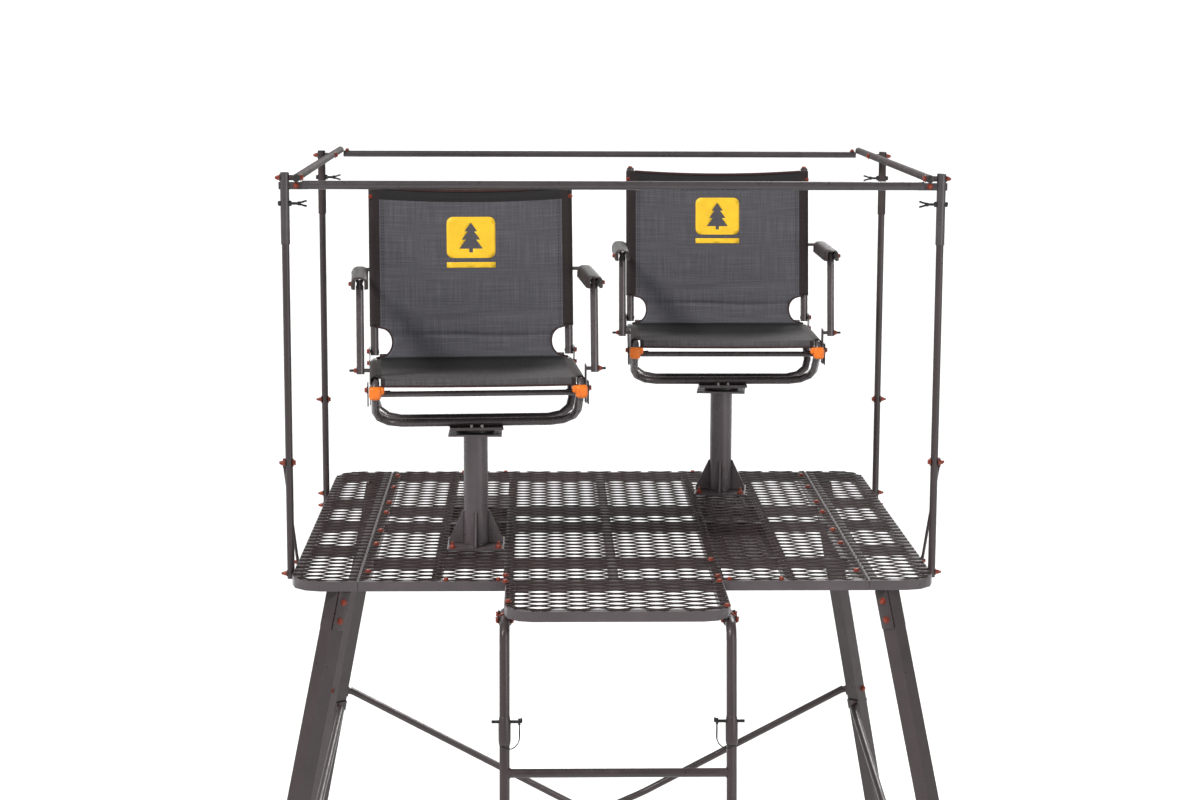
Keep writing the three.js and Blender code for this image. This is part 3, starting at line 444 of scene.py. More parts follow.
# ---------------------------------------------------------------- CAD nodes: paint and round shading
def round_normals(obj, limit=35.0):
    """Shades a faceted solid as round where its faces meet at less than `limit`; no vertex is touched."""
    mesh = obj.data
    points = np.empty(len(mesh.vertices) * 3, np.float32)
    mesh.vertices.foreach_get("co", points)
    _, place = np.unique(np.round(points.reshape(-1, 3), 6), axis=0, return_inverse=True)
    place = place.reshape(-1)
    corners = {}
    for polygon in mesh.polygons:
        for loop in polygon.loop_indices:
            corners.setdefault(place[mesh.loops[loop].vertex_index], []).append((loop, polygon))
    cosine = math.cos(math.radians(limit))
    normals = [None] * len(mesh.loops)
    for group in corners.values():
        for loop, polygon in group:
            total = Vector()
            for _, other in group:
                if polygon.normal.dot(other.normal) > cosine:
                    total += other.normal * other.area
            normals[loop] = total.normalized() if total.length > 0 else polygon.normal
    mesh.shade_smooth()
    mesh.normals_split_custom_set(normals)


NODE_SLOT = {entry["node"]: entry["material_slot"] for entry in frame["record"]["subparts"]}
for node_name, node_object in frame["nodes"].items():
    for i in range(len(node_object.material_slots)):
        node_object.material_slots[i].material = SLOT_PAINT[NODE_SLOT[node_name]]
    if not node_object.material_slots:
        node_object.data.materials.append(SLOT_PAINT[NODE_SLOT[node_name]])
    round_normals(node_object)
PLATFORM_FRAMES = ("centre_frame", "wing_frame_left", "wing_frame_right", "landing_frame")
for paint, painted in ((SIDE_RAIL_PAINT, ("rail_left", "rail_right")),
                       (PEDESTAL_PAINT_LIT, ("pedestal_left", "pedestal_right")),
                       (PLATFORM_PAINT, PLATFORM_FRAMES)):
    for node_name in painted:
        frame["nodes"][node_name].material_slots[0].material = paint


# ---------------------------------------------------------------- expanded-metal decks
# Millimetres: the diamonds' pitches, a strand's width, the sheet, and a bond's half length and half gap.
LONG_WAY, SHORT_WAY = 94.0, 40.0
STRAND, SHEET = 5.2, 1.8
BOND, BOND_GAP = 6.5, 1.2


def strand(build, start, end, width, lift):
    """One leaning strand of expanded metal between two bonds."""
    way = (end - start).normalized()
    tilt = Vector((-way.y * 0.99, way.x * 0.99, 0.16)) * (width / 2) * MM
    thick = Z * (SHEET / 2 * MM)
    ring = (tilt + thick, -tilt + thick, -tilt - thick, tilt - thick)
    ends = (start + Z * lift * MM, end - Z * lift * MM)
    build.add([point + offset for point in ends for offset in ring], stacked(2, 4))


def expanded_sheet(name, node, planes):
    """Staggered diamonds over the node's box, trimmed by planes of (point, outward normal)."""
    low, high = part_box(node)
    step_x, step_y = LONG_WAY / 2 * MM, SHORT_WAY * MM
    bond, gap = X * BOND * MM, BOND_GAP * MM
    build = Build()
    first = math.floor((low.x - DECK.x) / step_x) - 1
    last = math.ceil((high.x - DECK.x) / step_x) + 1
    first_row = math.floor((low.y - DECK.y) / step_y) - 1
    for i in range(first, last):
        for j in range(int((high.y - low.y) / step_y) + 3):
            row = first_row + j + (i % 2) / 2
            at = Vector((DECK.x + i * step_x, DECK.y + row * step_y, (low.z + high.z) / 2 + 0.0009))
            for way in (-1, 1):
                far = at + X * step_x - bond + Y * way * (step_y / 2 - gap)
                strand(build, at + bond + Y * way * gap, far, STRAND, 0.5 * way)
            strand(build, at - bond * 1.25, at + bond * 1.25, STRAND * 1.65, 0.0)
    made = build.object(name, smooth=0)
    bm = bmesh.new()
    bm.from_mesh(made.data)
    for point, outward in planes:
        geom = bm.verts[:] + bm.edges[:] + bm.faces[:]
        cut = bmesh.ops.bisect_plane(bm, geom=geom, plane_co=point, plane_no=outward, clear_outer=True)
        edges = [e for e in cut["geom_cut"] if isinstance(e, bmesh.types.BMEdge)]
        bmesh.ops.edgeloop_fill(bm, edges=edges)
    bm.to_mesh(made.data)
    bm.free()
    give(made, "stand", DECKING, node)


def trim_planes(low, high, rounded=(), radius=0.08, facets=4):
    """The sides of a rectangle in plan, and tangent planes round the corners named by (x sign, y sign)."""
    planes = [((low.x, 0, 0), (-1, 0, 0)), ((high.x, 0, 0), (1, 0, 0)),
              ((0, low.y, 0), (0, -1, 0)), ((0, high.y, 0), (0, 1, 0))]
    for sx, sy in rounded:
        centre = Vector((span_end(low.x, high.x, sx, radius), span_end(low.y, high.y, sy, radius), 0))
        for i in range(facets):
            angle = (i + 0.5) * math.pi / 2 / facets
            out = Vector((sx * math.cos(angle), sy * math.sin(angle), 0))
            planes.append((centre + out * radius * 0.995, out))
    return planes


for deck, rounded in (("centre", ()), ("left", ((-1, -1), (-1, 1))), ("right", ((1, -1), (1, 1))),
                      ("landing", ((-1, -1), (1, -1)))):
    deck_low, deck_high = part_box(f"deck_{deck}")
    expanded_sheet(f"deck_mesh_{deck}", f"deck_{deck}", trim_planes(deck_low, deck_high, rounded))


# ---------------------------------------------------------------- platform fasteners and fittings
SEAM_BOLTS = {"x": 620, "y": (241, 98, -146, -317, -640, 470, 655)}
LANDING_BOLTS = ((-272, -688), (-272, -753), (-262, -961), (262, -700), (262, -753), (262, -1007),
                 (258, -512))
EDGE_BOLTS = {"x": (-420, -290, 290, 420), "y": 724.5}
LEG_HALF_DIAGONAL = 0.0297
BRACE_ENDS = (("back", -720, 1), ("back", -1722, 1), ("back", -764, -1), ("front", -1300, 1))


def platform_bolts():
    """Bolt heads that stand through the deck where frames are bolted together."""
    build = Build()
    seams = [(side * SEAM_BOLTS["x"], y) for side in (-1, 1) for y in SEAM_BOLTS["y"]]
    for x, y in seams + list(LANDING_BOLTS):
        hex_bolt(build, on_platform(x, y, 2.4), Z, 12, 9)
    for side in (-1, 1):
        for x in EDGE_BOLTS["x"]:
            hex_bolt(build, on_platform(x, side * EDGE_BOLTS["y"], 0.3), Z, 10, 8)
    give(build.object("deck_bolts"), "stand", BOLTS)


def leg_axis(end_word, end, side_word, side):
    """Top centre, foot centre and downward direction of a leg, from its box."""
    low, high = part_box(f"leg_{end_word}_{side_word}")
    half = LEG_HALF_DIAGONAL
    top = Vector((span_end(low.x, high.x, -side, half), span_end(low.y, high.y, -end, half), high.z))
    foot = Vector((span_end(low.x, high.x, side, half), span_end(low.y, high.y, end, half), low.z))
    return top, foot, (foot - top).normalized()


def square_to(way, x, y):
    """The level direction (x, y), turned square to `way`."""
    normal = Vector((x, y, 0)).normalized()
    return (normal - way * normal.dot(way)).normalized()


def leg_fittings():
    """Corner sockets that hold the legs, their bolts, and the foot welds."""
    sockets, bolts, welds = Build(), Build(), Build()
    for end_word, end in ENDS:
        for side_word, side in SIDES:
            top, foot, way = leg_axis(end_word, end, side_word, side)
            for facing in ((-side, end), (-side, -end), (side, -end)):
                normal = square_to(way, *facing)
                axes = Matrix((way.cross(normal), normal, -way)).transposed()
                plate = top + way * 0.052 + normal * 0.0236
                rounded_block(sockets, plate, (0.036, 0.0042, 0.098), axes, 0.2, 2)
                if facing != (side, -end):
                    for drop in (0.030, 0.078):
                        hex_bolt(bolts, top + way * drop + normal * 0.0258, normal, 12, 9)
            sole = Vector((foot.x, foot.y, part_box(f"foot_{end_word}_{side_word}")[1].z + 0.001))
            ring = []
            for i in range(24):
                angle = 2 * math.pi * i / 24
                reach = 0.0309 / (abs(math.cos(angle)) + abs(math.sin(angle)))
                ring.append(sole + (X * math.cos(angle) + Y * math.sin(angle)) * reach)
            swept(welds, ring, 0.0024, 8, closed=True)
    give(sockets.object("leg_sockets"), "stand", WELDS)
    give(bolts.object("leg_bolts"), "stand", BOLTS)
    give(welds.object("foot_welds"), "stand", WELDS)


def brace_bolts():
    """A bolt and nut through each flattened brace end."""
    build = Build()
    for side_word, side in SIDES:
        for end_word, height, facing in BRACE_ENDS:
            top, foot, way = leg_axis(end_word, dict(ENDS)[end_word], side_word, side)
            point = top.lerp(foot, (DECK.z + height * MM - top.z) / (foot.z - top.z))
            normal = square_to(way, -side, facing)
            away = way.cross(normal)
            if away.dot(Vector((DECK.x, DECK.y, point.z)) - point) >= 0:
                away = -away
            lock_nut(build, point + normal * 0.0254 + away * 0.011, normal, 13, 10)
            hex_bolt(build, point - normal * 0.0212 + away * 0.011, -normal, 13, 10)
    give(build.object("brace_bolts"), "stand", BOLTS)


# ---------------------------------------------------------------- ladder details
LADDER_X, LADDER_TUBE = 270, 0.0127
LADDER_TOP_Y, LADDER_TOP_Z, LADDER_SLOPE = -1040, -50, 0.157
FIRST_RUNG, RUNG_SPACING, RUNGS = -383, 305, 9
LADDER_JOINTS = (-319, -1720)
SWAGED_COLLAR = [(12.6, 0.4), (14, 4), (14.8, 11), (15, 50), (14.3, 59), (12.9, 68), (12.6, 69)]


def ladder_y(height):
    """How far forward the ladder's tubes are at a height."""
    return LADDER_TOP_Y - LADDER_SLOPE * (LADDER_TOP_Z - height)


def ladder_details():
    """Rung welds, the collars of the plugged joints, and the straps that hold the ladder's hooked tops."""
    welds, pads, hooks = Build(), Build(), Build()
    for k in range(RUNGS):
        height = FIRST_RUNG - k * RUNG_SPACING
        for _, side in SIDES:
            ring = circle(on_platform(side * 257.8, ladder_y(height), height), 11.4 * MM, Y, Z, 16)
            swept(welds, ring, 0.0017, 6, closed=True)
    for name in ("ladder_top_left", "ladder_top_right"):
        low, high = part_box(name)
        x, z = (low.x + high.x) / 2, high.z - LADDER_TUBE
        swept(hooks, circle(Vector((x, low.y + 0.13, z)), 0.0146, X, Z, 20), 0.0022, 8, closed=True)
        for y in (low.y + 0.11, low.y + 0.165):
            turns = [math.pi * i / 12 for i in range(13)]
            strap = [Vector((x, y, z)) + (X * math.cos(turn) - Z * math.sin(turn)) * 0.0140 for turn in turns]
            swept(pads, [strap[0] + Z * 0.012, *strap, strap[-1] + Z * 0.012], 0.006, 8, flat=0.28)
            for nut_x in (x - 0.0175, x + 0.0175):
                lock_nut(hooks, Vector((nut_x, y, high.z - 0.004)), -Z, 8, 5.6, 3)
    for _, side in SIDES:
        for joint in LADDER_JOINTS:
            foot = on_platform(side * LADDER_X, ladder_y(joint), joint + 1.4)
            turned(welds, SWAGED_COLLAR, foot, (0, LADDER_SLOPE, 1), 28)
    give(welds.object("rung_welds"), "stand", WELDS)
    give(pads.object("ladder_hook_straps"), "stand", BLACK_PARTS)
    give(hooks.object("ladder_hook_nuts"), "stand", BOLTS)


def pin_bails():
    """The spring wire of each locking pin: from the pin's head down and back round the front of the tube."""
    for level in ("upper", "lower"):
        for side_word, side in SIDES:
            pin = f"ladder_pin_{level}_{side_word}"
            low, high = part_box(pin)
            head_x = span_end(low.x, high.x, -side)
            y, z = (low.y + high.y) / 2, (high.z + low.z) / 2
            tube_x = DECK.x + side * LADDER_X * MM
            top = high.z - 0.005
            bends = ((head_x, 3, 0, (top - z) / MM), (head_x, 2, -2, -12), (head_x, 3, -4, -24),
                     (head_x, 7, -8, -34), (head_x, 14, -13, -40), (head_x, 22, -18, -43),
                     (tube_x, -4, -20.5, -41), (tube_x, 6, -20.5, -36))
            build = Build()
            route = [Vector((x + side * out * MM, y + back * MM, z + up * MM)) for x, out, back, up in bends]
            swept(build, route, 0.0015, 8)
            turned(build, [(2, 0), (5.8, 0), (6.2, 1.2), (6.2, 3), (5, 4.2), (1, 4.6)],
                   (head_x, y, z if high.z - low.z < 0.03 else top), (-side, 0, 0), 16)
            give(build.object(f"pin_bail_{level}_{side_word}"), pin, BLACK_PARTS)


# ---------------------------------------------------------------- posts and rail details
POST_BOLT_HEIGHTS = {"front": (-12,), "back": (-8, -44)}
MIDDLE_BOLT, LOCK_HEIGHT, SLEEVE_TOP = 0.275, 0.931, 1.0072
SIDE_RAIL_HEIGHT, FRONT_RAIL_HEIGHT = 0.995, 0.9755


def post_details():
    """Post bolts, the brackets that hold the rear posts, and the struts' flat ends."""
    bolts, brackets = Build(), Build()
    for end, _ in ENDS:
        for side_word, side in SIDES:
            post = middle_of(f"post_{end}_{side_word}")
            foot = Vector((post.x, post.y, DECK.z))
            out = X * side
            for height in POST_BOLT_HEIGHTS[end]:
                lock_nut(bolts, foot + out * 0.0098 + Z * height * MM, out, 11, 8, 4)
            if end == "back":
                rounded_block(brackets, foot - out * 0.0132 - Z * 0.042, (0.004, 0.030, 0.036), None, 0.2, 2)
                hex_bolt(bolts, foot - out * 0.0154 - Z * 0.044, -out, 11, 8)
            hex_bolt(bolts, foot - out * 0.0098 + Z * MIDDLE_BOLT, -out, 12, 10.5)
            lock_nut(bolts, foot + out * 0.0098 + Z * MIDDLE_BOLT, out, 12, 10.5)
    inset = 0.004
    for side_word, side in SIDES:
        low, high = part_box(f"post_strut_{side_word}")
        outer, inner = span_end(low.x, high.x, side, inset), span_end(low.x, high.x, -side, inset)
        for end in (Vector((outer, low.y + inset, high.z - inset)),
                    Vector((inner, high.y - inset, low.z + inset))):
            rounded_block(brackets, end, (0.0045, 0.016, 0.024), None, 0.25, 2)
            hex_bolt(bolts, end + X * side * 0.0023, X * side, 9, 7)
    give(bolts.object("post_bolts"), "stand", BOLTS)
    give(brackets.object("post_brackets"), "stand", WELDS)


def rail_details():
    """Bolts, tube ends, sleeve collars, lock nuts and caps that move with the rail."""
    bolts, caps = Build(), Build()
    for side_word, side in SIDES:
        out = X * side
        low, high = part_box(f"rail_{side_word}")
        rail_x = span_end(low.x, high.x, -side, 0.010)
        rail_z = DECK.z + SIDE_RAIL_HEIGHT
        for y, way in ((low.y, -1), (high.y, 1)):
            turned(caps, [(4, -6), (8.6, -6), (8.6, 0), (10.1, 0.2), (10.1, 2.2), (8, 3.4), (2, 3.8)],
                   (rail_x, y - way * 0.0036, rail_z), Y * way, 24)
        for end, _ in ENDS:
            post = middle_of(f"post_{end}_{side_word}")
            hex_bolt(bolts, (rail_x - side * 0.0102, post.y, rail_z), -out, 11, 9.5)
            lock_nut(bolts, (post.x + side * 0.0117, post.y, rail_z), out, 11, 8.5, 2.0)
            top = Vector((post.x, post.y, DECK.z + SLEEVE_TOP))
            lock = Vector((post.x, post.y, DECK.z + LOCK_HEIGHT))
            turned(caps, [(6, -1), (10.8, -1), (10.8, 0.6), (9, 1.4), (3, 1.7)], top, Z, 24)
            turned(caps, [(3.6, 0), (7.5, 0), (7.5, 4.6), (6.6, 5.4), (3.6, 5.4)],
                   lock - out * 0.0114, -out, 6)
            turned(caps, [(3, -1), (6.6, -1), (6.6, 4), (5, 5.8), (2, 6.2)], lock + out * 0.0114, out, 14)
        back_low, back_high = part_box("rail_back")
        back = Vector((span_end(back_low.x, back_high.x, side), *middle_of("rail_back").yz))
        turned(caps, [(4, -2), (9.2, -2), (9.2, 0.2), (4, 0.4)], back, out, 24)
        hex_bolt(bolts, back - out * 0.011 + Z * 0.0094, Z, 9, 7.5)
        front_low, front_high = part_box("rail_front")
        tab = Vector((span_end(front_low.x, front_high.x, side, 0.044), middle_of("rail_front").y,
                      DECK.z + FRONT_RAIL_HEIGHT))
        hex_bolt(bolts, tab - Y * 0.003, -Y, 10, 7.5)
        lock_nut(bolts, tab + Y * 0.003, Y, 10, 7.5, 3)
    give(bolts.object("rail_bolts"), "shooting_rail", BOLTS)
    give(caps.object("rail_caps"), "shooting_rail", CAPS)


platform_bolts()
leg_fittings()
brace_bolts()
ladder_details()
pin_bails()
post_details()
rail_details()


# ---------------------------------------------------------------- chairs
# Millimetres in the chair's own axes: +Y to its rear, heights from the top of the platform's tubes.
CHAIR_X, SIDE_TUBE_Z = 263.0, 468.0
RECLINE = math.radians(9)
PIVOT_Y, PIVOT_Z = 190.0, 500.0
ARM_X, ARM_Z = 300.0, 718.0
ARM_SHIFT = (ARM_Z - PIVOT_Z) * math.tan(RECLINE)
LINK_Y = -170.0
KNUCKLE_Y, KNUCKLE_Z = -175.0, 442.0
BACK_TUBE_TOP = 943.2
PAD = {"front": -166.0, "rear": 128.0, "bottom": 705.0, "top": 738.0, "half": 22.0,
       "channel": 11.6, "rounding": 13.0}
RELIEF, RELIEF_CEILING = 12.5, 727.0
# The hem band's depth below the top edge; the band's darkness is painted shade.
HEM_SIDE, HEM_MIDDLE, SHADED_HEM_BAND = 937.0, 928.0, 34.0
SLEEVE_END, WAIST_END, WAIST_NARROW = 566.0, 484.0, 214.0
BADGE_HEIGHT = 802.0
WRAP = 12.4
SAG = 8.0
SEAT_SAG = 12.0
SEAT_SLEEVE_FRONT, SEAT_SLEEVE_REAR = -176, 164
COLUMNS, BACK_ROWS, WAIST_ROWS = 44, 46, 18
STITCH = 4.2


def chair_place(word):
    """From a chair's own millimetres to the world."""
    swivel, fold = JOINTS[f"{word}_swivel"], JOINTS[f"{word}_back_fold"]
    axis = Vector(fold["axis"])
    origin = Vector((swivel["pos_m"][0], swivel["pos_m"][1], DECK.z))
    turn = Matrix.Rotation(math.atan2(axis.y, axis.x), 4, "Z")
    return Matrix.Translation(origin) @ turn @ Matrix.Scale(MM, 4)


def back_point(x, height, off=0.0):
    """A point of the backrest by its height; off is how far it stands in front of the tubes' middle plane."""
    rear = PIVOT_Y + (height - PIVOT_Z) * math.tan(RECLINE)
    return Vector((x, rear - off * math.cos(RECLINE), height + off * math.sin(RECLINE)))


def bell(value, width):
    """A smooth hump of height 1."""
    return math.exp(-(value / width) ** 2)


def sag_at(x, height):
    """How far in front of the tubes' middle plane the stretched cloth lies."""
    across = 1 - min(1.0, abs(x) / CHAIR_X) ** 2
    fold = 2.2 * bell(height - 590 - 9 * math.sin(x / 90), 11) + 1.5 * bell(height - 618 + x * 0.05, 14)
    ripple = 0.9 * noise.noise(Vector((x / 75, height / 48, 3.1)))
    ripple += 0.4 * noise.noise(Vector((x / 28, height / 160, 8.2)))
    return WRAP - SAG * across - (fold - ripple) * across ** 0.5


def on_cloth(x, height, off=0.0):
    """A point of the backrest's cloth."""
    return back_point(x, height, sag_at(x, height) + off)


def hem_height(x):
    """The height of the top edge, which dips in the middle."""
    return HEM_MIDDLE + (HEM_SIDE - HEM_MIDDLE) * (min(abs(x), CHAIR_X) / CHAIR_X) ** 2


def tube_wrap(side, steps=7):
    """The sleeve round one tube: (x, off) from the seam behind it, round the outside, to the front."""
    turns = [math.radians(-60 + i * 170 / steps) for i in range(steps + 1)]
    return [(side * (CHAIR_X + WRAP * math.cos(turn)), WRAP * math.sin(turn)) for turn in turns]


LEFT_WRAP, RIGHT_WRAP = tube_wrap(-1), tube_wrap(1)[::-1]
CLOTH_EDGE = RIGHT_WRAP[0][0]
ROW = COLUMNS - 1 + len(LEFT_WRAP) + len(RIGHT_WRAP)


def in_sleeve(j):
    """Whether a face, by its column, is in the sleeve or its hem."""
    return j < len(LEFT_WRAP) or j >= ROW - len(RIGHT_WRAP) - 1


def between(half):
    """The x of each column boundary over a cloth of the given half width."""
    return [-half + 2 * half * j / COLUMNS for j in range(COLUMNS + 1)]


def quads(upper, lower, count):
    """Faces between two rows of vertices, by the index of their first vertices."""
    return [(upper + j, upper + j + 1, lower + j + 1, lower + j) for j in range(count)]


def cloth_mesh(name, rows_and_uvs, faces, thickness):
    """A thin sheet with cloth UVs in metres, given its thickness by a modifier."""
    mesh = bpy.data.meshes.new(name)
    mesh.from_pydata([tuple(v) for rows, _ in rows_and_uvs for row in rows for v in row], [], faces)
    uvs = [uv for _, lines in rows_and_uvs for line in lines for uv in line]
    layer = mesh.uv_layers.new(name="cloth")
    for loop in mesh.loops:
        layer.data[loop.index].uv = uvs[loop.vertex_index]
    mesh.shade_smooth()
    made = placed(name, mesh)
    solid = made.modifiers.new("thickness", "SOLIDIFY")
    solid.thickness = thickness
    solid.offset = 0.0
    return made


def set_bands(made, bands, *materials):
    """Further materials for a dressed piece, and the number of each face's material."""
    for material in materials:
        made.data.materials.append(material)
    made.data.polygons.foreach_set("material_index", bands)


def flat_uvs(rows, drop=0.0):
    """Cloth coordinates: the running length along each row, and down the middle column from `drop`."""
    uvs = []
    middle = len(rows[0]) // 2
    for i, row in enumerate(rows):
        if i:
            drop += (row[middle] - rows[i - 1][middle]).length
        line = [0.0]
        for before, point in zip(row, row[1:]):
            line.append(line[-1] + (point - before).length)
        uvs.append([(value - line[middle], drop) for value in line])
    return uvs


def waist_point(x, share):
    """Below the sleeves the cloth narrows, leans and creases. share runs from 0 at the top to 1."""
    height = SLEEVE_END + (WAIST_END - SLEEVE_END) * share
    crease = 5.0 * bell(share - 0.30 - 0.03 * math.sin(x / 60), 0.07) * (1 - (abs(x) / 300) ** 2)
    forward = 20.0 * max(0.0, share - 0.45) ** 1.6
    return Vector((x, on_cloth(x, height, -crease).y - forward, height))


def waist_half(share):
    """Half the cloth's width where the corners are cut away."""
    dip = math.sqrt(max(0.0, 1 - (2 * share - 1) ** 2))
    return CLOTH_EDGE - (CLOTH_EDGE - WAIST_NARROW) * dip ** 0.8


def back_cloth(word, place):
    """The backrest: one sheet wrapped round both tubes, hemmed at the top, narrowing to the seat below."""
    rows = []
    for i in range(BACK_ROWS + 1):
        def fall(x):
            return hem_height(x) + (SLEEVE_END - hem_height(x)) * i / BACK_ROWS
        row = [back_point(x, fall(x), off) for x, off in LEFT_WRAP]
        row += [on_cloth(x, fall(x)) for x in between(CLOTH_EDGE)[1:-1]]
        row += [back_point(x, fall(x), off) for x, off in RIGHT_WRAP]
        rows.append([place @ point for point in row])
    uvs = flat_uvs(rows)
    waist = [rows[-1][len(LEFT_WRAP) - 1:len(LEFT_WRAP) + COLUMNS]]
    for i in range(1, WAIST_ROWS + 1):
        share = i / WAIST_ROWS
        waist.append([place @ waist_point(x, share) for x in between(waist_half(share))])
    waist_uvs = flat_uvs(waist, uvs[-1][0][1])

    faces, bands = [], []
    for i in range(BACK_ROWS):
        faces += quads(i * ROW, (i + 1) * ROW, ROW - 1)
        # Faces in the band under the top edge get the hem cloth, darkened as painted shade.
        in_shaded_hem = (HEM_MIDDLE - SLEEVE_END) * (i + 0.5) / BACK_ROWS < SHADED_HEM_BAND
        bands += [1 if in_sleeve(j) else 2 if in_shaded_hem else 0 for j in range(ROW - 1)]
    upper = BACK_ROWS * ROW + len(LEFT_WRAP) - 1
    for i in range(WAIST_ROWS):
        lower = (BACK_ROWS + 1) * ROW + i * (COLUMNS + 1)
        faces += quads(upper, lower, COLUMNS)
        upper = lower
    bands += [0] * (WAIST_ROWS * COLUMNS)
    made = cloth_mesh(f"back_cloth_{word}", ((rows, uvs), (waist[1:], waist_uvs[1:])), faces, 0.0011)
    dress(made, BACK_FABRIC, f"back_sling_{word}")
    set_bands(made, bands, SLEEVE_CLOTH_SHADED, HEM_CLOTH_SHADED)
    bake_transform(made)
    return made, [row[0] for row in waist], [row[-1] for row in waist]


def seat_profile():
    """The seat cloth's side view from its rear to the bottom of its front lip: (y, height)."""
    top, roll = SIDE_TUBE_Z + WRAP, 15.0
    points = [(190.0, top + 12.0), (180.0, top + 7.0), (170.0, top + 3.0), (160.0, top + 1.0)]
    points += [(160.0 - i * 33.0, top) for i in range(1, 11)]
    for i in range(1, 6):
        turn = math.radians(90 + i * 17)
        points.append((-178.0 + roll * math.cos(turn), top - roll + roll * math.sin(turn)))
    return points + [(-193.4, top - 18.5)]


def seat_cloth(word, place):
    """The seat: a sheet sleeved over both side tubes, sagging between them, with a bound lip in front."""
    rows, faces, bands = [], [], []
    profile = seat_profile()
    for y, z in profile:
        on_tube = SEAT_SLEEVE_FRONT < y < SEAT_SLEEVE_REAR
        depth = math.sin(math.pi * min(1.0, max(0.0, (y + 196) / 372))) ** 0.5
        half = CLOTH_EDGE if on_tube else CLOTH_EDGE - 9.0
        row = [Vector((x, y, SIDE_TUBE_Z + off) if on_tube else (-half, y, z)) for x, off in LEFT_WRAP]
        for x in between(half)[1:-1]:
            across = 1 - min(1.0, abs(x) / half) ** 2
            ripple = 0.8 * noise.noise(Vector((x / 60, y / 50, 5.5)))
            row.append(Vector((x, y, z + (ripple - SEAT_SAG) * depth * across)))
        row += [Vector((x, y, SIDE_TUBE_Z + off) if on_tube else (half, y, z)) for x, off in RIGHT_WRAP]
        rows.append([place @ point for point in row])
    for i in range(len(rows) - 1):
        sleeved = profile[i][0] < SEAT_SLEEVE_REAR and profile[i + 1][0] > SEAT_SLEEVE_FRONT
        for j, face in enumerate(quads(i * ROW, (i + 1) * ROW, ROW - 1)):
            if sleeved or len(LEFT_WRAP) - 1 <= j < ROW - len(RIGHT_WRAP):
                faces.append(face)
                bands.append(1 if in_sleeve(j) else 0)
    made = cloth_mesh(f"seat_cloth_{word}", ((rows, flat_uvs(rows)),), faces, 0.0012)
    give(made, f"chair_{word}", SEAT_FABRIC_SHADED_REAR, f"seat_sling_{word}")
    set_bands(made, bands, SLEEVE_CLOTH_SHADED)
    return made, rows[-1][len(LEFT_WRAP) - 1:len(LEFT_WRAP) + COLUMNS]


def tape(name, points, width, body, blend_to=None):
    """Edge binding: a flattened tape folded over a raw edge."""
    build = Build()
    swept(build, points, width, 8, flat=0.36)
    made = build.object(name, smooth=60)
    layer = made.data.uv_layers.new(name="cloth")
    for loop in made.data.loops:
        co = made.data.vertices[loop.vertex_index].co
        layer.data[loop.index].uv = (co.x + co.y * 0.5, co.z + co.y * 0.5)
    dress(made, EDGING)
    if blend_to:
        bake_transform(made)
    else:
        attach(made, body)
    return made


def emblem_outlines():
    """A generic badge: a rounded panel with a fir tree cut out, and a plain bar below."""
    panel = []
    half_w, half_h, radius = 66.0, 55.0, 17.0
    for cx, cy, start in ((1, 1, 0), (-1, 1, 90), (-1, -1, 180), (1, -1, 270)):
        for i in range(6):
            turn = math.radians(start + i * 18)
            panel.append((cx * (half_w - radius) + radius * math.cos(turn),
                          cy * (half_h - radius) + radius * math.sin(turn)))
    half_tree = [(17, 16), (9, 16), (25, -6), (14, -6), (32, -30), (5, -30), (5, -40)]
    tree = [(0, 40)] + half_tree + [(-x, y) for x, y in reversed(half_tree)]
    bar = [(-66, -81), (66, -81), (66, -66), (-66, -66)]
    return panel, tree[::-1], bar


def emblem(word, place):
    """Ink on the backrest, following the cloth's surface."""
    panel, tree, bar = emblem_outlines()
    bm = bmesh.new()
    for loops in ([panel, tree], [bar]):
        outlines = [[Vector((x, y, 0)) for x, y in loop] for loop in loops]
        flat = sum(outlines, [])
        for corners in tessellate_polygon(outlines):
            bm.faces.new([bm.verts.new(flat[i]) for i in corners])
    bmesh.ops.remove_doubles(bm, verts=bm.verts, dist=0.01)
    for size in (34, 20, 12):
        bmesh.ops.subdivide_edges(bm, edges=[e for e in bm.edges if e.calc_length() > size], cuts=1)
        bmesh.ops.triangulate(bm, faces=bm.faces)
    for v in bm.verts:
        v.co = place @ on_cloth(v.co.x, BADGE_HEIGHT + v.co.y, 1.0)
    bmesh.ops.recalc_face_normals(bm, faces=bm.faces)
    mesh = bpy.data.meshes.new(f"emblem_{word}")
    bm.to_mesh(mesh)
    bm.free()
    mesh.shade_smooth()
    made = placed(f"emblem_{word}", mesh)
    solid = made.modifiers.new("ink", "SOLIDIFY")
    solid.thickness = 0.0003
    give(made, f"chair_back_{word}", BADGE)


def face_outward(mesh, split=False):
    """Turns the faces outward; split also cuts the large end faces into triangles."""
    bm = bmesh.new()
    bm.from_mesh(mesh)
    if split:
        bmesh.ops.triangulate(bm, faces=[f for f in bm.faces if len(f.verts) > 4])
    bmesh.ops.recalc_face_normals(bm, faces=bm.faces)
    bm.to_mesh(mesh)
    bm.free()


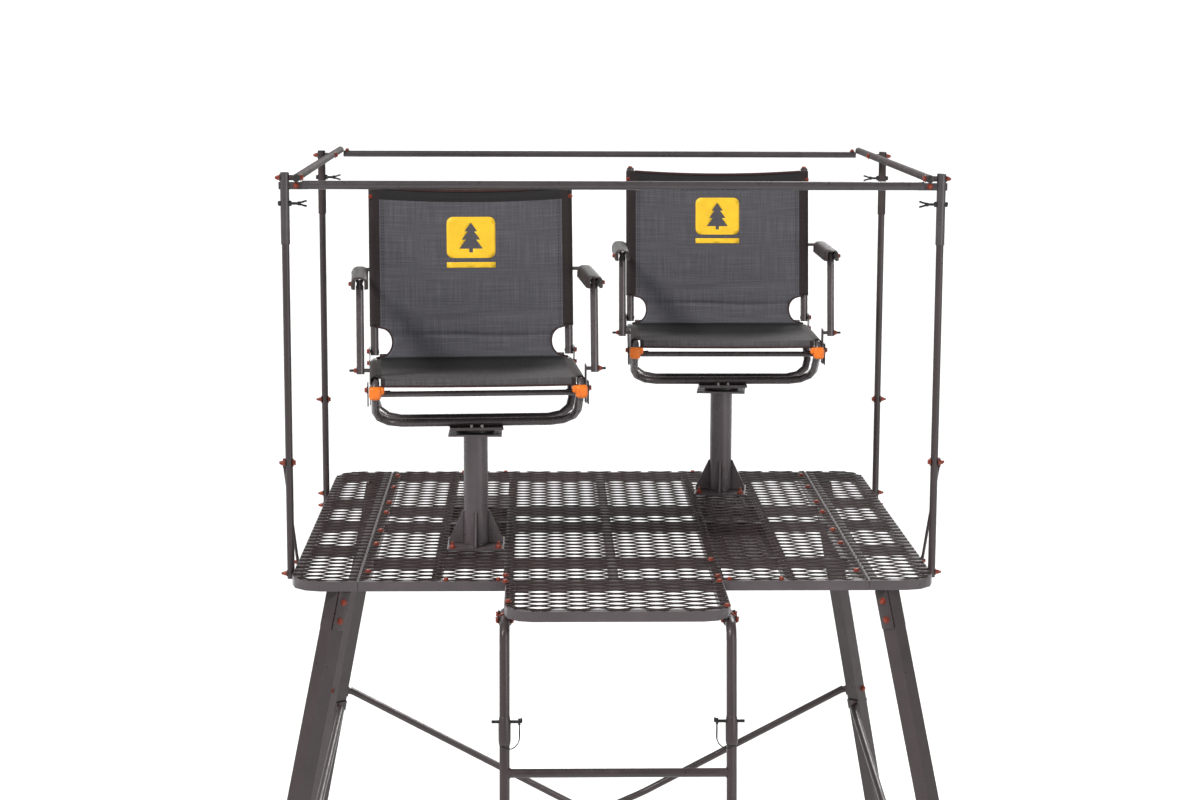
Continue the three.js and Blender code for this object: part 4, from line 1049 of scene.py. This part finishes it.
def pad_section(y, relieved):
    """The pad's arched outline round its channel, relieved where the side plate's corner passes."""
    half, bottom, top, channel = (PAD[key] for key in ("half", "bottom", "top", "channel"))
    near_end = min(y - PAD["front"], PAD["rear"] - y)
    tuck = math.sqrt(max(0.0, 1 - (1 - min(1.0, near_end / PAD["rounding"])) ** 2))
    scale = 0.62 + 0.38 * tuck
    arch = []
    for k in range(17):
        turn = math.pi * k / 16
        x = half * scale * math.copysign(abs(math.cos(turn)) ** 0.62, math.cos(turn))
        arch.append((x, bottom + 5 + (top - 5 - bottom - (1 - scale) * 12) * (abs(math.sin(turn)) ** 0.66)))
    side = [(half * scale * 0.97, bottom + 1.2), (half * scale * 0.99, bottom + 3)]
    inside = [(channel + 2, bottom), (channel, bottom + 2.5), (channel, 731.5)]
    ring = side + arch + [(-x, z) for x, z in reversed(side)]
    ring += [(-x, z) for x, z in inside] + [(0, 733.0)] + inside[::-1]
    return [Vector((x, y, max(z, RELIEF_CEILING) if relieved else z)) for x, z in ring]


def arm_pad(word, arm, side, place):
    """A moulded foam pad with rounded ends, the strap that carries it from the backrest, and its bolts."""
    node = f"arm_pad_{arm}_of_{word}"
    relief = LINK_Y + math.hypot(ARM_Z - PIVOT_Z, ARM_SHIFT) + ARM_SHIFT
    stations = [PAD["front"] + (PAD["rear"] - PAD["front"]) * i / 40 for i in range(41)]
    stations = [y for y in stations if abs(y - relief) > RELIEF + 1.0]
    stations = sorted(stations + [relief + way * (RELIEF + gap) for way in (-1, 1) for gap in (0.0, 0.6)])
    rings = [pad_section(y, abs(y - relief) < RELIEF + 0.3) for y in stations]
    mesh = bpy.data.meshes.new(f"pad_{arm}_of_{word}")
    verts = [tuple(place @ (point + X * side * ARM_X)) for ring in rings for point in ring]
    mesh.from_pydata(verts, [], stacked(len(rings), len(rings[0])))
    face_outward(mesh, split=True)
    mesh.shade_smooth()
    mesh.set_sharp_from_angle(angle=math.radians(55))
    pad = placed(f"pad_{arm}_of_{word}", mesh)
    give(pad, node, ARM_FOAM, node)

    rear_end = Vector((side * ARM_X, PIVOT_Y + ARM_SHIFT, ARM_Z))
    turns = [math.radians(-90 + i * 180 / 11) for i in range(12)]
    outline = [rear_end + (Y * math.cos(turn) + Z * math.sin(turn)) * 9 for turn in turns]
    outline += [Vector((side * ARM_X, PAD["rear"] - 30, ARM_Z + up)) for up in (8, -8)]
    metal = Build()
    metal.add([place @ (point + X * dx) for dx in (-2, 2) for point in outline], stacked(2, len(outline)))
    strap = metal.object(f"pad_strap_{arm}_of_{word}", smooth=30)
    face_outward(strap.data)
    give(strap, node, BLACK_PARTS)

    pins = Build()
    out = place.to_3x3().normalized() @ X * side
    for reach, y in ((ARM_X + PAD["half"] - 0.5, LINK_Y), (ARM_X + 2.2, PIVOT_Y)):
        hex_bolt(pins, place @ Vector((side * reach, y + ARM_SHIFT, ARM_Z)), out, 10, 7)
    give(pins.object(f"pad_bolts_{arm}_of_{word}"), node, BOLTS)


def chair_fittings(word, place):
    """Knuckles, side plates, bolts and tube caps of the chair, and the ring of its swivel."""
    turn = place.to_3x3().normalized()
    orange, black, bolts, zinc = Build(), Build(), Build(), Build()

    def at(x, y, z):
        return place @ Vector((x, y, z))

    for _, side in SIDES:
        out = (turn @ (X * side)).normalized()
        knuckle = at(side * (CHAIR_X + 1), KNUCKLE_Y - 11, KNUCKLE_Z + 2)
        cheek = at(side * (CHAIR_X - 5), KNUCKLE_Y - 10, KNUCKLE_Z + 8)
        rounded_block(orange, knuckle, (0.031, 0.042, 0.034), turn, 0.28, 4)
        rounded_block(orange, cheek, (0.036, 0.032, 0.020), turn, 0.3, 3)
        plate_x = CHAIR_X + 19
        plate = at(side * plate_x, KNUCKLE_Y + 2, KNUCKLE_Z - 3)
        rounded_block(black, plate, (0.0034, 0.030, 0.060), turn, 0.3, 3)
        for x, y, z, across, washer in (
            (plate_x + 1.8, KNUCKLE_Y, KNUCKLE_Z + 8, 12, 9.5), (ARM_X + 10.4, LINK_Y, PIVOT_Z, 11, 8),
            (277.6, PIVOT_Y, PIVOT_Z, 12, 9), (277.6, PIVOT_Y, SIDE_TUBE_Z, 10, 8),
        ):
            hex_bolt(bolts, at(side * x, y, z), out, across, washer)
        turned(black, [(3, 0), (3.4, 1), (3.4, 10), (2.4, 12)],
               at(side * (ARM_X + 16.8), LINK_Y, PIVOT_Z), out, 12)
        swept(black, [at(side * (CHAIR_X - 20), KNUCKLE_Y - 4, KNUCKLE_Z + 3),
                      at(side * (CHAIR_X - 38), KNUCKLE_Y - 5, KNUCKLE_Z + 4)], 0.0032, 10)
        turned(black, [(4, -3), (9, -3), (9, 0), (11.1, 0.3), (11.1, 2), (8, 3.4), (2, 3.8)],
               at(side * CHAIR_X, 205.2, SIDE_TUBE_Z), turn @ Y, 24)
    turned(black, [(40, 0), (48.5, 0), (50, 1.2), (50, 10.2), (48.5, 11.4), (40, 11.4)],
           at(0, 0, 312.5), Z, 40)
    for x in (-14, 14):
        for y in (-62, 62):
            hex_bolt(zinc, at(x, y, 331.2), Z, 7, 5.5)
    body = f"chair_{word}"
    give(orange.object(f"knuckles_{word}"), body, ACCENT)
    give(black.object(f"chair_trim_{word}"), body, BLACK_PARTS)
    give(bolts.object(f"chair_bolts_{word}"), body, BOLTS)
    give(zinc.object(f"swivel_nuts_{word}"), body, PALE_NUTS)

    top_bolts, caps = Build(), Build()
    along = (turn @ Vector((0, math.sin(RECLINE), math.cos(RECLINE)))).normalized()
    for _, side in SIDES:
        tip = place @ back_point(side * CHAIR_X, BACK_TUBE_TOP)
        turned(caps, [(4, -4), (8.8, -4), (8.8, 0), (11, 0.4), (11, 1.2), (8, 2.6), (2, 3)], tip, along, 24)
        lean = (turn @ Vector((side * 0.57, -0.82, 0))).normalized()
        hex_bolt(top_bolts, place @ back_point(side * CHAIR_X, 913) + lean * 0.0118, lean, 8, 6.4)
        turned(top_bolts, [(4, 0), (7.5, 0), (7.5, 2), (5, 4.8), (1, 5.6)], tip + along * 0.0030, along, 16)
    give(caps.object(f"back_caps_{word}"), f"chair_back_{word}", CAPS)
    give(top_bolts.object(f"back_bolts_{word}"), f"chair_back_{word}", BOLTS)


def stitching(word, place):
    """Lock-stitched seams beside the sleeves and along the hem."""
    build = Build()
    heights, across = np.arange(SLEEVE_END + 4, HEM_SIDE - 10, STITCH), np.arange(-236, 236, STITCH)
    seams = [[on_cloth(side * inset, height, 0.9) for height in heights]
             for side in (-1, 1) for inset in (236.0, 241.0)]
    seams += [[on_cloth(x, hem_height(x) - drop, 0.9) for x in across] for drop in (24.0, 28.5)]
    for points in seams:
        for i in range(0, len(points) - 1, 2):
            swept(build, [place @ points[i], place @ points[i + 1]], 0.0006, 5)
    give(build.object(f"stitching_{word}", smooth=0), f"chair_back_{word}", EDGING)


def build_chair(word):
    """The cloths with their bindings, the badge, the fittings and the arm pads of one chair."""
    place = chair_place(word)
    body, back = f"chair_{word}", f"chair_back_{word}"
    cloth, edge_left, edge_right = back_cloth(word, place)
    seat, lip = seat_cloth(word, place)
    tapes = [tape(f"waist_tape_{side_word}_of_{word}", edge, 0.0036, body, back)
             for side_word, edge in (("left", edge_left), ("right", edge_right))]
    hem = [place @ back_point(x, hem_height(x) - 1.0, sag_at(x, hem_height(x)))
           for x in np.linspace(-250, 250, 41)]
    hem_tape = tape(f"hem_tape_of_{word}", hem, 0.0042, back)
    lip_tape = tape(f"lip_tape_of_{word}", lip, 0.0040, body)
    emblem(word, place)
    stitching(word, place)
    chair_fittings(word, place)
    for arm, side in SIDES:
        arm_pad(word, arm, side, place)


def pedestal_details(word):
    """Weld beads and base bolts of one pedestal."""
    low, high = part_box(f"pedestal_{word}")
    x, y = JOINTS[f"{word}_swivel"]["pos_m"][:2]
    base = Vector((x, y, low.z + 0.006))
    turn = math.radians(-6 if word == "right" else 0)
    welds, bolts = Build(), Build()
    for height, size in ((base.z + 0.0008, 0.0026), (high.z - 0.0062, 0.0024)):
        ring = circle(Vector((x, y, height)), 0.0328, X, Y, 72)
        for i, point in enumerate(ring):
            point.z += 0.0004 * math.sin(17 * 2 * math.pi * i / 72)
        swept(welds, ring, size, 8, closed=True)
    for k in range(4):
        angle = turn + k * math.pi / 2
        way, side = X * math.cos(angle) + Y * math.sin(angle), Y * math.cos(angle) - X * math.sin(angle)
        for hand in (-1, 1):
            foot, post = base + Z * 0.001 + side * hand * 0.0032, base + way * 0.0322 + side * hand * 0.0034
            swept(welds, [foot + way * reach for reach in np.linspace(0.034, 0.071, 12)], 0.0019, 6)
            swept(welds, [post + Z * height for height in np.linspace(0.004, 0.088, 18)], 0.0017, 6)
        lock_nut(bolts, base + Z * 0.0002 + (way + side).normalized() * 0.086, Z, 13, 11, 6)
    give(welds.object(f"pedestal_welds_{word}"), "stand", WELDS)
    give(bolts.object(f"pedestal_bolts_{word}"), "stand", BOLTS)


for chair, _ in SIDES:
    pedestal_details(chair)
    build_chair(chair)


# ---------------------------------------------------------------- floor, light and camera
def stage():
    """A wide pale floor, a soft key from the front left, gentle fill, and a bright backdrop behind."""
    middle = (CAD_LOW + CAD_HIGH) / 2
    bpy.ops.mesh.primitive_plane_add(size=4000, location=(middle.x, middle.y, CAD_LOW.z - 0.0005))
    floor = bpy.context.object
    floor.name = "floor"
    n = Nodes("floor_paper")
    at = n.here()
    paper = n.ramp(n.noise(at, 3.0), [(0.3, (0.89, 0.89, 0.89)), (0.7, (0.92, 0.92, 0.92))])
    floor.data.materials.append(n.finish(paper, 0.95))

    world = bpy.data.worlds.new("studio")
    bpy.context.scene.world = world
    world.use_nodes = True
    tree = world.node_tree
    direction = tree.nodes.new("ShaderNodeTexCoord").outputs["Generated"]
    split = tree.nodes.new("ShaderNodeSeparateXYZ")
    tree.links.new(direction, split.inputs[0])
    backdrop = tree.nodes.new("ShaderNodeMapRange")
    for key, value in (("From Min", 0.55), ("From Max", 0.92), ("To Min", 0.42), ("To Max", 1.15)):
        backdrop.inputs[key].default_value = value
    tree.links.new(split.outputs["Y"], backdrop.inputs["Value"])
    tree.links.new(backdrop.outputs["Result"], tree.nodes["Background"].inputs["Strength"])
    tree.nodes["Background"].inputs["Color"].default_value = (1.0, 1.0, 1.0, 1.0)

    for name, kind, spot, energy, softness, amount in (
        ("key", "SUN", (-6.0, -5.0, 11.0), 3.9, "angle", math.radians(16)),
        ("fill", "AREA", (6.0, -6.0, 5.0), 260.0, "size", 4.0),
        ("rim", "AREA", (3.0, 6.0, 8.0), 380.0, "size", 3.0),
    ):
        light = bpy.data.lights.new(name, kind)
        light.energy = energy
        setattr(light, softness, amount)
        lamp = placed(name, light)
        lamp.location = Vector((middle.x, middle.y, 0)) + Vector(spot)
        lamp.rotation_mode = "QUATERNION"
        lamp.rotation_quaternion = (DECK + Z * 0.3 - lamp.location).to_track_quat("-Z", "Y")


SENSOR, LENS = 36.0, 71.68
CAMERA_FROM_DECK = (-0.191, -6.561, 1.3745)
CAMERA_TURNS = (0.156, 0.0264, 0.0036)


def viewing_camera():
    """In front of the stand, a little above the seats, looking slightly down."""
    data = bpy.data.cameras.new("camera")
    data.sensor_width, data.lens = SENSOR, LENS
    camera = placed("camera", data)
    camera.location = DECK + Vector(CAMERA_FROM_DECK)
    pitch, yaw, roll = CAMERA_TURNS
    ahead = Vector((math.sin(yaw) * math.cos(pitch), math.cos(yaw) * math.cos(pitch), -math.sin(pitch)))
    level = X * math.cos(yaw) - Y * math.sin(yaw)
    square = level.cross(ahead)
    right = level * math.cos(roll) + square * math.sin(roll)
    up = square * math.cos(roll) - level * math.sin(roll)
    camera.rotation_mode = "QUATERNION"
    camera.rotation_quaternion = Matrix((right, up, -ahead)).transposed().to_quaternion()
    bpy.context.scene.camera = camera


stage()
viewing_camera()
bpy.context.scene.view_settings.view_transform = "Standard"

bpy.context.view_layer.update()
